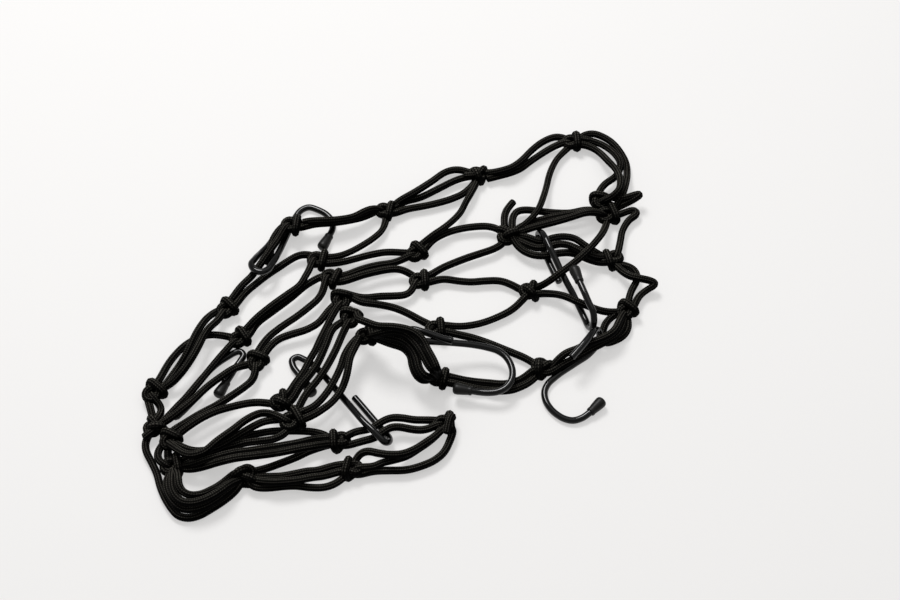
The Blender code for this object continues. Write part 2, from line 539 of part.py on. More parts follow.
def knot_lump(knot):
    """The plain outer form of a knot, flat underneath where it rests on the ground."""
    shape = bmesh.new()
    bmesh.ops.create_uvsphere(shape, u_segments=KNOT_AROUND, v_segments=KNOT_BANDS, radius=0.5)
    middle = Vector(in_net_frame([knot[:3]])[0])
    place = (Matrix.Translation(middle) @ Matrix.Rotation(math.radians(knot.turn), 4, "Z")
             @ Matrix.Diagonal((KNOT_LENGTH, KNOT_WIDTH, KNOT_HEIGHT, 1.0)))
    bmesh.ops.transform(shape, matrix=place, verts=shape.verts)
    if middle.z < KNOT_HEIGHT / 2:
        everything = shape.verts[:] + shape.edges[:] + shape.faces[:]
        cut = bmesh.ops.bisect_plane(shape, geom=everything, plane_co=(0, 0, 0),
                                     plane_no=(0, 0, -1), clear_outer=True)["geom_cut"]
        bmesh.ops.holes_fill(shape, edges=[e for e in cut if isinstance(e, bmesh.types.BMEdge)])
    return shape


def fuse(name, shapes, look):
    """One solid from overlapping ones.

    The EXACT solver loses a knot whose strands leave it along each other, so this is MANIFOLD.
    """
    whole = add_object(name, shapes[0])
    for i, shape in enumerate(shapes[1:]):
        piece = add_object(f"{name}_piece_{i}", shape)
        union = whole.modifiers.new("union", "BOOLEAN")
        union.operation = "UNION"
        union.solver = "MANIFOLD"
        union.object = piece
        evaluated = whole.evaluated_get(bpy.context.evaluated_depsgraph_get())
        joined = bpy.data.meshes.new_from_object(evaluated)
        whole.modifiers.clear()
        whole.data = joined
        bpy.data.objects.remove(piece)
    whole.data.name = name
    whole.data.materials.clear()
    whole.data.materials.append(finish(name, look))
    return whole


def build_net(lines):
    """A node for each section of the net: its knots, with its half of every strand they hold."""
    sections = {}
    for knot in KNOTS.values():
        sections.setdefault(knot.section, []).append(knot_lump(knot))
    for strand, line in zip(STRANDS, lines):
        first = KNOTS[strand.start].section
        second = KNOTS[strand.end].section if strand.end else first
        if first == second:
            line = corners_of(line, CORD_STRAY)
            sections[first].append(cord_tube(line, ways_along(line)))
            continue
        near, far = cord_halves(line)
        sections[first].append(near)
        sections[second].append(far)
    for section, shapes in sections.items():
        fuse(f"net_section_{section:02d}", shapes, BLACK_CORD)


def hook_run(hook):
    """The centre line of a hook's wire up to the mouth of its tip, and the way the tip points."""
    line = smooth_curve(in_net_frame(hook.route), WIRE_SPACING)
    toward = in_net_frame([hook.tip_toward])[0] - line[-1]
    return line, toward / np.linalg.norm(toward)


def lines_of(hook):
    """The lines along a hook's wire and along its tip, each with its radius."""
    line, direction = hook_run(hook)
    length = max(reach for reach, _ in TIP_SECTION)
    reaches = np.arange(0.0, length, LAY_STEP)
    tip = line[-1] + np.outer(reaches, direction)
    return [(line, WIRE / 2), (tip, max(radius for _, radius in TIP_SECTION))]


def build_hook(number, hook):
    """Two nodes: the wire, and the rubber tip pushed over its end."""
    line, direction = hook_run(hook)
    mouth = Vector(line[-1])
    along = Vector(direction)
    wire = np.vstack([line, line[-1] + (TIP_SOCKET - PIECE_GAP) * direction])
    add_object(f"hook_{number}", wire_tube(wire), BLACK_COATING)
    side = along.cross(Vector((0.0, 0.0, 1.0))).normalized()
    top = side.cross(along)
    rings = [circle(mouth + reach * along, side, top, radius, TIP_SIDES)
             for reach, radius in TIP_SECTION]
    add_object(f"hook_tip_{number}", skin(rings), BLACK_RUBBER)


def main():
    for old in list(bpy.data.objects):
        bpy.data.objects.remove(old)
    hook_lines = [line for hook in HOOKS for line in lines_of(hook)]
    laid = []
    for strand in STRANDS:
        laid.append((lay_strand(strand, laid, hook_lines), {strand.start, strand.end}))
    build_net([line for line, _ in laid])
    for number, hook in enumerate(HOOKS, 1):
        build_hook(number, hook)


main()
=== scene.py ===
"""The looks of the elastic cargo net: braided cord, netting knots, wire hooks and rubber tips.

Lengths are in millimetres until a mesh is made, and then in metres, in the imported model's frame.
The places of knots, strands and hooks are stated as in the CAD: across and down in the picture
points of a 900 by 600 view, and the height above the ground. in_net_frame() turns them into x, y
and z. They are the CAD's places, but for twelve strands that are drawn a few millimetres nearer
to where the photograph shows them, and four that the CAD leaves out: see STRANDS.
"""
import itertools
import math
from collections import namedtuple

import bpy
import numpy as np
from mathutils import Matrix, Vector


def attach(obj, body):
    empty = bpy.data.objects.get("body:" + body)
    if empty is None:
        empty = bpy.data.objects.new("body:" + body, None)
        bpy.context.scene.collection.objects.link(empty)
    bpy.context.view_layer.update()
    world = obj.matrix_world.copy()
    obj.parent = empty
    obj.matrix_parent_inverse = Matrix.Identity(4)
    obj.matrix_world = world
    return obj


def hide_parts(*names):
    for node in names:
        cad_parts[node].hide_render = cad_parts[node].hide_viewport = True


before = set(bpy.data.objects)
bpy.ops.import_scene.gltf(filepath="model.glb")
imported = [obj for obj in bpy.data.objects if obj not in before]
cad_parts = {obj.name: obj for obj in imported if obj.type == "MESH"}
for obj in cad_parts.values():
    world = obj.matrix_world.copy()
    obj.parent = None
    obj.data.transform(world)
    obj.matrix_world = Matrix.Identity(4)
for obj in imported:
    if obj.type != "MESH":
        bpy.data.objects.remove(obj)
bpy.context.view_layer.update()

MM = 0.001
TINY = 1e-9             # added to a distance that is divided by
SAME_PLACE = 1e-6       # mm between points that count as one
CURVE_POINTS = 12       # on a smooth curve from one place that it passes to the next
STEEP = 0.9             # a line that rises more than this at its start is framed from +X

# Cord, mm
CORD = 5.0              # diameter of the braided elastic in the CAD
CORD_CORNER = 2.9       # there, from a strand's middle to the edges of its square tube
CORD_GAP = 0.9          # clear space between two strands that cross or run side by side
PIECE_GAP = 0.3         # between two solids that touch on the real net
SLACK_CORD = 5.15       # elastic cord is thicker where it lies slack
TAUT_CORD = 4.65        # and thinner where it is stretched
TAUT_STRANDS = ((9, 14), (8, 10), (7, 2))
CORD_UNEVEN = 0.025     # how much the cord's thickness wanders, as a share of it
CORD_WAVES = ((9.7, 0.0), (5.3, 1.0), (23.0, 2.0))  # mm to a radian, and the start, of each
SEALED_END = 1.1        # how far a cut end's edge is rounded along the cord
SEALED_LEAST = 0.04     # share of that at which the rounding starts, so that the end has a face

# Braid. Points round a cord lie on a rib and in a groove by turns.
BRAID_SIDES = 16
BRAID_STEP = 0.8        # mm between the rings of a cord's mesh, half a stitch
BRAID_RIB = 0.13        # mm that a rib stands out of the round, and a groove lies in it
BRAID_STITCH = 0.05     # mm that each stitch along it does so too
BRAID_MAP = "Braid"     # the cords' own map: round the cord, and along it
END_OFF_RIB = 0.25      # a cut end's place in it: 0 is on a rib, and 1/2 in a groove

# Knots. A sheet bend, as net makers tie it, is worked out with its cord's diameter as the unit.
KNOT_CORD = 3.9         # mm between two soft cords that are pressed together in a knot
KNOT_THICK = 5.4        # mm, the cord's own thickness there
KNOT_PRESSED = 0.86     # a knot is pulled this much flatter than round cords would lie
KNOT_LEG_END = -1.0     # where the two legs of its bight leave it
KNOT_TAIL_END = 1.65    # and the two ends of the cord that is wound round the bight
KNOT_MIDDLE = 0.35      # of the way from its band to its lobe
KNOT_RADIUS = 14.0      # mm from its middle, where a strand leaves its own curve for the knot
KNOT_SHARE = 0.42       # of a strand's length, the most that each knot takes up
KNOT_RISE = 1.0         # mm that a knot on the ground may rise over its plain solid's middle
KNOT_HEIGHT = 11.0      # of the plain solid that stands for a knot, mm
KNOT_WIDTH = 12.5
KNOT_LENGTH = 16.0
PORT_PLACE = 0.5        # weight of where a knot's cord ends, beside 1 for which way it points

# Ends in a knot, mm
TAIL = 1.2              # a cut end, where a knot's cord holds no strand
TAIL_POINTS = 5
TAIL_DROP = 1.5         # how far its end sinks
TAIL_SWELL = 0.5        # and how much thicker it is than the knot's cord
HIDDEN_PAST = 0.5       # how far past the knot's middle a strand ends that no cord takes on
HIDDEN_BELOW = 2.0      # and how far below it
HIDDEN_THICK = 0.95 * KNOT_THICK
HIDDEN_LOOSE = 0.6      # how freely such an end may draw itself straight, of 1

# How tension straightens a cord. It is free up to the first of two distances from where a strand
# meets a knot, in mm, and keeps its place from the second on.
FREE_STRAND = (2.0, 9.0)
FREE_IN_KNOT = (1.5, 5.0)
FREE_ROUNDS = 6         # times that this freedom is smoothed along the cord
THICK_ROUNDS = 24       # and the cord's thickness
STRAIGHTEN_ROUNDS = 70
LAST_ROUNDS = 3         # over the whole cord, at the end

# A loose sheet bend in cord diameters: the bight, and the cord that comes up through it, goes
# round behind its legs and tucks under its own standing part
BIGHT = ((-7, 1.0, 0), (-4, 1.2, 0), (-1, 1.5, 0), (2, 1.6, 0), (3.6, 0.0, 0), (2, -1.6, 0),
         (-1, -1.5, 0), (-4, -1.2, 0), (-7, -1.0, 0))
WRAP = ((8, 0.5, -0.8), (4.8, 0.3, -1.1), (3.0, 0.1, -1.0), (1.9, 0.1, 0.1), (1.2, 0.6, 1.5),
        (0.6, 2.0, 1.3), (0, 3.0, 0), (-0.4, 2.6, -1.2), (-0.6, 0, -1.6), (-0.5, -2.6, -1.2),
        (0, -3.0, 0), (0.6, -2.0, 0.9), (1.1, -0.5, 0.5), (1.4, 0.5, 0.4), (1.9, 1.5, 1.0),
        (2.8, 2.2, 0.9), (5, 1.6, 0.6), (8, 1.0, 0.4))
BIGHT_POINTS = 60
WRAP_POINTS = 100
LOOSE_SPACING = 0.25    # between points of the loose knot, in diameters
TIGHTEN_ROUNDS = 420
TIGHTEN_EVEN = 10       # rounds after which points are spaced evenly again
TIGHTEN_STEP = 0.5      # how much of each move is made at once
TIGHTEN_PUSHES = 3      # times in each round that cords are pushed apart
TIGHTEN_NEAR = 1.7      # points nearer than this along one cord may be close together

# Hooks, mm
WIRE = 4.8              # diameter of the coated wire
WIRE_SIDES = 24
WIRE_STEP = 1.2         # between the rings of a wire's mesh
WIRE_SPACING = 6.5      # and of the plain solid's
WIRE_EDGE = 0.6         # rounding at its cut end
WIRE_EDGE_RINGS = 5
WIRE_IN_TIP = (3.0, 6.6)  # its last rings, past the mouth of the tip
TIP_SIDES = 36
TIP_LENGTH = 13.4
TIP_RADIUS = 4.2
# A rubber tip's section from inside its mouth to the middle of its closed end: distance from the
# mouth and radius
TIP_SECTION = ((6.7, 2.42), (3.0, 2.42), (0.35, 2.45), (0.0, 2.65), (0.05, 3.0), (0.45, 3.2),
               (1.6, 3.26), (2.2, 3.1), (3.4, 3.3), (5.2, 3.55), (7.5, 3.8), (9.4, 3.98),
               (10.8, 4.02), (11.9, 3.75), (12.7, 3.1), (13.2, 2.1), (13.4, 0.9))

# How the strands lie on each other, mm
LAY_STEP = 3.0          # between the places where a strand's height is worked out
LAY_BEND = 42.0         # radius at which a strand comes down from what it passes over
LAY_ROUNDS = 5
FREE_OF_KNOT = 10.0     # two strands of one knot may touch this near to its middle
CLEAR_OF_KNOT = 24.0    # and are a whole cord apart from here on
UNDER_BY = 8.0          # a strand this far below another one passes under it

# The view that places are stated in, which is also the camera's
VIEW_TILT = math.radians(57.0)  # how steeply it looks down
VIEW_DISTANCE = 1300.0  # mm, from the eye to the ground at the picture's middle
VIEW_SCALE = 1.4        # picture points for each mm there
VIEW_MIDDLE = (450.0, 300.0)
VIEW_WIDTH = 900.0      # picture points
NET_MIDDLE = (405.6, 316.5)  # the picture point that sees the origin
SENSOR = 36.0           # mm, the camera's

# Looks. Colours are linear, and the net's are near black.
SHARP = math.radians(50.0)  # an edge that turns more than this is shaded as an edge
STITCH_LEAN = 1.3       # stitches that a yarn runs along from its rib to the groove
THREADS = 3             # ridges of thread on each yarn
THREAD_HEIGHT = 0.06    # of them, against a yarn's 1
YARN_CROWN = 0.9        # the powers that shape the crowns of a yarn and of a rib
RIB_CROWN = 1.2
CROWN_HIGHLIGHT_POWER = 2.4        # and the painted highlight on the two, which leaves their gaps in painted shade
PAINTED_SHADE_POWER = 1.6       # how quickly the painted shade deepens on sides turned away from the key lamp
# The cord's tones: painted shade in its grooves and gaps, and a painted highlight on its crowns,
# which its specks of lint also take
CORD_SHADE = (0.0, 0.0, 0.0)
CORD_CROWN = (0.092, 0.0865, 0.0735)
PAINTED_LIGHT_WAY = (-0.25, 0.5, 0.83)  # about the way the key lamp shines from: sides turned towards it get painted light
COATING_CLEAN = (0.0005, 0.0005, 0.0005)
COATING_SCUFFED = (0.003, 0.003, 0.003)
RUBBER_CLEAN = (0.002, 0.002, 0.002)
RUBBER_DUSTY = (0.009, 0.0088, 0.008)

# Stage, m and W
FLOOR_REACH = 4.0
FLOOR_COLOUR = (0.36, 0.355, 0.351)
FLOOR_GLOW = (1.0, 0.99, 0.98)
FLOOR_GLOW_STRENGTH = 0.5  # lightens the shadows
WORLD_STRENGTH = 0.36
# Each light: name, place, diameter and power
LIGHTS = (("key", (-0.3, 0.8, 1.4), 0.6, 21.0), ("fill", (0.45, 0.5, 1.9), 2.2, 8.0))

# Each knot: place, height of its middle, the way its band points from its lobe (degrees in plan,
# anticlockwise from +X), how far it is rolled over about its length (0 shows the side where the
# cord crosses itself, 180 the other), and its size against the others', for one that is drawn
# less tight or more.
Knot = namedtuple("Knot", "across down height turn roll size", defaults=(180, 1.0))
KNOTS = {
    1: Knot(293, 224.5, 12, -10, size=1.05),
    2: Knot(319.5, 259.5, 8, -15, size=1.05),
    3: Knot(332.5, 277.5, 8.5, -25, size=1.05),
    4: Knot(341, 299, 10, 75),
    5: Knot(350, 317, 15, 70),
    6: Knot(367, 335, 20, 10),
    7: Knot(386.5, 211.5, 5, -15),
    8: Knot(479, 175.5, 5, -10, 0, 0.95),
    9: Knot(573, 142.5, 5, 0),
    10: Knot(416.5, 253, 5, 38),
    11: Knot(421, 281, 5, 0),
    12: Knot(437, 329, 5, 0),
    13: Knot(531, 292, 5, 10, 0),
    14: Knot(508, 235, 7, 80, 0, 1.1),
    15: Knot(608.5, 215, 5, 15, size=1.18),
    16: Knot(599, 200, 8.5, 75, size=0.9),
    17: Knot(612, 260.5, 5, 190),
    18: Knot(626, 311, 5, 45),
    19: Knot(542, 369, 5, -35, 0),
    20: Knot(440.5, 378, 6, -15),
    21: Knot(227, 309, 5, 40),
    22: Knot(240, 337.5, 6.5, 30),
    23: Knot(256.5, 360.5, 6.5, 65),
    24: Knot(154, 392, 5, 45, size=1.15),
    25: Knot(155.5, 427, 5, 60, 0),
    26: Knot(169.5, 439, 9.5, 60),
    27: Knot(173.5, 466, 5, 10, size=1.1),
    28: Knot(283, 402, 11, 30, 0, 1.1),
    29: Knot(293, 419, 11, 25, size=1.2),
    30: Knot(338, 442, 5, 180),
    31: Knot(351, 470, 5, 165),
    32: Knot(245, 478, 5, 270, 0, 1.15),
    33: Knot(446, 424, 5, 0, size=1.1),
}
SHARING_KNOT = 16       # has no section of its own in the CAD, which joins it to knot 15's

# Each strand: the knots at its two ends, None where it ends free, and the places it passes
# between them. A third number is its height there. Elsewhere it keeps to the line between the
# heights before and after, or lies on what was laid before it: the lowest strands come first.
# The CAD leaves out one of the three strands from 20 to 6, and the cut tails at 8, 25 and 33. It
# has the strands from 18 to 18 and 19, from 20 to 6, from 25 and 27 to 32, and from 32 to 31 up to
# 8 picture points from here.
Strand = namedtuple("Strand", "start end route")
STRANDS = [Strand(*strand) for strand in (
    (18, 17, ((626, 302), (631.6, 290), (637, 279.5), (635, 270), (629, 265), (621, 263))),
    (18, 17, ((634, 300), (641, 294), (650, 288), (656, 284), (651, 281), (641, 278.6), (627, 275),
     (618, 268))),
    (15, 17, ((617, 214), (626, 212), (635, 209), (637, 213), (629, 220), (622, 232), (620, 243.6),
     (617, 252))),
    (15, 16, ((615, 208, 4), (625, 204, 4), (636, 198, 5), (641, 194, 8), (636, 194.5, 12),
     (622, 199, 11))),
    (13, 18, ((541, 293), (556, 294, 6), (567, 297, 9), (577, 301.5, 11.5), (588, 306, 10),
     (598, 310, 5), (611, 313))),
    (19, 20, ((534, 374), (519.5, 380.5, 3), (504, 384, 3), (489, 383, 3), (470, 381, 3),
     (452, 378.5))),
    (19, 20, ((535, 380), (524, 385.5, 3), (512, 390, 3), (498, 391, 3), (480, 389.5, 3),
     (460, 385, 3))),
    (9, 8, ((562, 143), (553, 147), (543, 153), (531, 161), (520, 169), (507, 174), (493, 177))),
    (9, 8, ((568, 137), (560, 135), (551, 138), (541, 143), (531, 151), (522, 160), (513, 166.6),
     (500.6, 171), (491, 173))),
    (7, 8, ((397, 210), (419, 207), (438, 203), (454, 198), (466, 192), (474, 184))),
    (7, 8, ((397, 204), (419, 198), (438, 189), (454, 181), (467, 176))),
    (7, 8, ((395, 202), (402, 199), (415, 192), (431, 182), (446, 172), (461, 169), (471, 171))),
    (14, 10, ((505, 229), (492, 226.5), (478, 226.5), (465, 228), (452, 231), (440, 236),
     (431, 241), (424, 247))),
    (8, 10, ((476, 183), (473, 190), (467, 200), (460, 213), (450, 223), (439, 231), (431, 236),
     (424, 243))),
    (7, 2, ((387, 221), (383.5, 229), (375, 237), (363, 245), (350, 252), (337, 257))),
    (10, 2, ((407, 252.5), (397, 252), (385, 252.3), (370, 255), (352.5, 259.5), (337, 263))),
    (10, 3, ((409, 257), (401, 261), (393, 263), (379, 265), (366, 268), (354, 272), (344, 276))),
    (11, 3, ((414, 275), (408, 271), (400, 269), (388, 269.5), (375, 272), (361, 275.5),
     (346, 280))),
    (11, 4, ((420, 287), (415, 292.5), (406, 295), (393, 296), (379, 296.5), (366, 298),
     (355, 299))),
    (12, 4, ((427, 325), (418, 319), (408, 313.5), (393, 307.5), (379, 304.6), (366, 303),
     (354, 303))),
    (11, 14, ((431, 274), (440, 269), (454, 263), (467, 258), (480.5, 253.5), (494, 249),
     (503, 245))),
    (11, 13, ((433, 278), (445, 279), (458, 281), (472, 282), (485, 281), (500, 281), (511, 284),
     (521, 289))),
    (12, 13, ((447, 328), (462.5, 326.5), (480, 323.5), (498, 317), (511.6, 310), (522, 302))),
    (12, 19, ((447, 333), (462.5, 335.4), (476, 339, 3), (489, 343.4, 3), (503, 349, 3),
     (520.5, 356), (533, 361))),
    (18, 18, ((614, 315), (606.5, 321), (603.5, 329, 3), (602.5, 337, 3), (605.5, 343, 3),
     (613, 341.5, 3), (622, 337, 3), (629, 329), (630, 319))),
    (24, 25, ((150, 401), (151, 411), (152, 419))),
    (24, 25, ((161, 401, 3), (163, 409, 3), (161, 418, 3))),
    (25, 32, ((148, 432), (144, 440), (146, 451), (151.5, 462, 3), (157, 474, 3), (160.5, 487, 3),
     (165.5, 499, 3), (171, 508, 3), (178, 515.5, 3), (188, 518, 3), (199, 515.5, 3),
     (210, 509.5, 3), (222, 502, 3), (235, 492))),
    (26, 27, ((160, 444), (156.5, 453), (157, 462), (163, 468))),
    (26, 27, ((167, 446), (168, 455))),
    (27, 32, ((167, 475), (165.5, 484), (168.5, 494), (175, 503.5), (183, 509), (192, 509.5),
     (204, 506.5), (216, 500), (228, 490.5), (238, 483))),
    (27, 32, ((172, 477), (172, 486), (175.5, 495.5), (183, 501.5), (192, 502.5), (204, 499.5),
     (216, 493.5), (228, 485), (237, 479))),
    (27, 32, ((178, 475), (178.5, 484), (182.5, 491.5), (190, 495), (200, 494.5), (212, 489.5),
     (222, 484), (234, 476))),
    (32, 30, ((255, 473), (268, 468), (284, 462), (299, 456), (310, 450.6), (322, 447))),
    (32, 31, ((251, 487), (268, 488), (284, 486.5), (296, 486), (310, 487.5), (323, 487.5),
     (336.5, 484), (344, 479))),
    (32, 31, ((254, 480), (268, 482), (284, 481.5), (299, 480), (312, 477.5), (325, 476),
     (340, 472))),
    (32, 31, ((254, 475), (264, 476.5), (280, 476.5), (295, 474), (306.5, 471.5), (318, 470.5),
     (329.5, 467), (340, 465))),
    (31, 33, ((362, 470), (373, 470.5), (390, 470.5), (406, 470), (423, 465.5), (435, 460),
     (445, 451), (449.5, 442), (449, 434))),
    (31, 33, ((361, 463), (369, 468), (381.5, 463), (394, 460), (406, 456.5), (420, 448),
     (433, 439), (441, 432))),
    (31, 33, ((354, 459), (359, 452.5), (367, 451), (377, 453), (390, 454.7), (402, 454),
     (415, 449), (427, 441.5), (438, 434))),
    (30, 33, ((351, 443), (365, 440.6), (376, 437, 8.1), (383, 432, 8.1), (391, 427.5, 8.1),
     (399, 427), (410, 429), (423, 430.5), (435, 430))),
    (30, 33, ((346, 434), (357, 430.7), (367, 430), (376, 425.5, 8.1), (383, 421, 8.1), (391, 418),
     (402, 418), (415, 420), (427, 420), (437, 420))),
    (14, 17, ((512, 243), (522, 250.4), (533.6, 255, 8.1), (545, 255.8, 8.1), (556.5, 253.5, 8.1),
     (571.5, 253, 7), (583, 257), (594, 262), (603, 264))),
    (14, 17, ((517, 239), (527, 245), (537, 248, 8.1), (549, 246.6, 8.1), (560, 244, 8.1),
     (570, 245.5), (581, 251), (592, 257), (602, 260))),
    (14, 17, ((519, 235), (527, 236), (534, 240, 8.1), (541, 241.5, 8.1), (552.7, 238, 8.1),
     (564, 236.6, 8), (575.7, 239), (583, 244), (593, 251), (603, 256))),
    (14, 15, ((510, 225), (512, 217), (516, 212), (524, 210), (534, 210.6), (545, 212), (557, 213),
     (570, 213), (585, 210), (598, 209))),
    (14, 15, ((518, 227), (533.6, 222), (549, 218), (568, 214.4), (585, 211.5), (598, 211))),
    (14, 15, ((518, 235), (526, 229.8), (541, 225.5), (556.5, 221.5), (572, 217), (587, 212.5),
     (598, 212))),
    (14, None, ((503, 224), (504, 216), (508, 208), (514, 201))),
    (8, None, ((474, 175, 10.5), (469, 176, 10.5), (463.5, 176.2, 9.5))),
    (25, None, ((152, 430, 8), (148, 433.5, 8), (143, 438, 7))),
    (33, None, ((450, 414, 9), (452.5, 410.5, 10), (451, 413, 12), (448.5, 422, 12.5),
     (446, 434, 9))),
    (9, 14, ((569, 149), (560, 155), (553.4, 165), (549, 176), (546.5, 186.5), (543.5, 196.5),
     (539, 208), (529, 220.6), (519, 229))),
    (9, 15, ((580, 135), (590, 133), (602, 136.5), (613, 143.5), (621, 153), (626, 163),
     (627, 174), (625, 187), (620, 200), (615, 208))),
    (9, 16, ((583, 140), (594, 141.5), (606, 147), (615, 154), (620.5, 163), (619, 172),
     (612, 179.5), (604, 184), (600, 191))),
    (9, 16, ((582, 143.5), (590, 146), (600, 153), (609, 162), (617, 171), (620.5, 180),
     (619, 190), (613, 197), (607, 200))),
    (13, 15, ((538, 288), (549.5, 281, 12), (560, 273, 16.5), (571, 265, 16.5), (583, 255, 13),
     (594, 243.6, 9), (603, 232), (607, 224))),
    (18, 19, ((623, 320), (621.5, 328.5), (614, 337, 8), (602, 343.5, 8.6), (590, 349.5, 8.6),
     (577, 357, 8.6), (565, 363, 7), (552, 368))),
    (18, 19, ((619, 321), (615.5, 329), (607, 336, 8.6), (596, 340.5, 8.6), (588, 343.5, 8.6),
     (577, 349, 8.6), (566, 353, 7), (557, 359), (548, 364))),
    (1, 7, ((302, 224), (317, 224), (333, 223), (352, 220), (368, 216), (377, 212))),
    (1, 7, ((303, 221), (320, 220.5), (338, 219.5), (354, 216.5), (366, 210.5), (377, 207))),
    (1, None, ((284, 221.5, 10), (279, 229, 9), (274, 237, 8.2), (271, 245, 7.5),
     (270.5, 253, 5.5), (269.5, 260, 4.5), (268, 266, 3.5))),
    (2, 21, ((314, 254), (307, 252.5), (299, 255), (290, 260), (280, 266.5), (268, 274.5, 4),
     (257, 283, 4), (246, 292), (236, 302))),
    (1, 21, ((285, 230.5), (277, 241, 11.5), (269, 252, 10), (262, 262, 8), (257, 269, 7.5),
     (251, 277, 7), (244, 283.5), (236, 292), (230, 301))),
    (3, 22, ((324, 273), (317, 278), (305, 286), (292, 297), (278, 307.5), (265, 317),
     (252, 326.5), (245, 333))),
    (2, 22, ((313.5, 265.5), (307, 273.5), (300, 285), (288, 294), (274, 304), (260, 315),
     (248, 325.5), (241, 331))),
    (3, 23, ((328, 285), (321, 296), (309, 307), (296, 317), (282.5, 326), (272, 334), (263, 343),
     (258, 352))),
    (4, 23, ((333, 304), (327, 312), (320, 321.5), (308, 329), (291, 334.5), (278, 339.5),
     (269.5, 346), (262.5, 354))),
    (22, 24, ((231, 337), (224, 335), (215, 334.5), (206, 335.5), (197, 338.5), (187, 344),
     (178, 352), (169, 363), (163, 373), (157, 384))),
    (21, 24, ((217, 310), (210, 315), (203, 323), (197, 332), (192, 342), (187, 353), (180, 365),
     (172, 376), (164, 386))),
    (21, 24, ((223, 317), (212, 325), (204, 335), (199, 345), (193, 356), (185, 368), (176, 379),
     (167, 388))),
    (22, 25, ((235, 343), (226, 350.5), (215, 363), (201, 380), (186, 397.6), (174, 410),
     (164, 420))),
    (23, 25, ((247, 363), (236, 367), (225, 374), (206.5, 387.5), (191, 402), (176, 414),
     (165, 423))),
    (23, 26, ((259, 370), (256, 377), (247, 385), (232, 395.5), (217, 405), (201, 413.5),
     (187, 422), (177, 430))),
    (30, 27, ((327, 434), (314, 432), (300, 431, 4), (286, 431, 3), (276, 431, 3), (261, 433),
     (248, 436), (236, 441), (220, 448), (203, 456), (186, 462))),
    (29, 27, ((287, 434), (276, 438.5), (261, 441), (245, 443), (232, 447), (214, 452), (198, 458),
     (184, 464))),
    (30, 27, ((327, 438), (314, 439), (299, 442.5), (276, 446.5), (253, 450), (232, 453),
     (213, 458), (198, 463), (185, 467))),
    (30, 27, ((329, 444), (314, 446), (297, 449), (276, 453), (253, 456), (236, 458), (219, 462),
     (202, 467), (186, 470))),
    (28, 26, ((272, 401.6), (252, 402.7), (232, 406.7), (214, 412), (199, 419.5), (187, 427.5),
     (179, 433))),
    (29, 26, ((278, 420), (268, 420), (257, 424.5), (245, 431), (232, 439), (216, 447.5),
     (200, 451), (186, 449), (177, 444))),
    (29, 26, ((281, 415), (273, 413.5), (264, 412.5), (255, 415), (245, 420.5), (234, 429),
     (217, 441), (203, 452), (190, 455), (178, 450))),
    (4, 28, ((337, 306), (332, 316), (325, 330), (320, 340), (315, 351), (309.5, 360), (304, 371),
     (297, 381), (288, 391))),
    (5, 28, ((341, 319), (335, 323), (331, 331), (327, 342), (322, 354), (316, 366), (308, 377),
     (299, 387), (291, 395))),
    (5, 29, ((347, 324), (342, 335), (337, 347), (331, 359), (324, 371), (316, 382), (308, 391.5),
     (301, 402), (298, 410))),
    (6, 29, ((358, 337), (350, 345), (345, 354), (341, 366), (335, 379), (328, 391), (318, 403),
     (308, 412))),
    (6, 29, ((360, 342), (354, 349), (350, 358), (348, 369), (345, 381), (340, 392), (332, 402),
     (320, 411), (309, 418))),
    (20, 6, ((432, 381), (424, 382, 6), (417, 376, 9), (412.5, 366, 14), (410, 355, 19),
     (403, 348, 22), (394, 345, 23), (384, 342, 22), (377, 340, 21))),
    (20, 6, ((434, 377), (427, 377, 10), (420, 370, 14), (417, 359, 20), (412, 349, 25),
     (402, 341, 27), (391, 338, 27), (379, 337, 22))),
    (20, 6, ((435.5, 373), (429, 366, 17), (423, 355, 24), (416, 344, 29), (406, 335, 31),
     (394, 332, 31), (384, 333, 28), (375, 335.5, 22))),
    (20, 5, ((438, 371), (434, 361, 18), (428, 350, 26), (423, 340, 31), (414, 332, 33),
     (402, 328, 33), (390, 326.5, 31), (378, 326, 27), (366, 322, 20), (358, 319, 17))),
)]

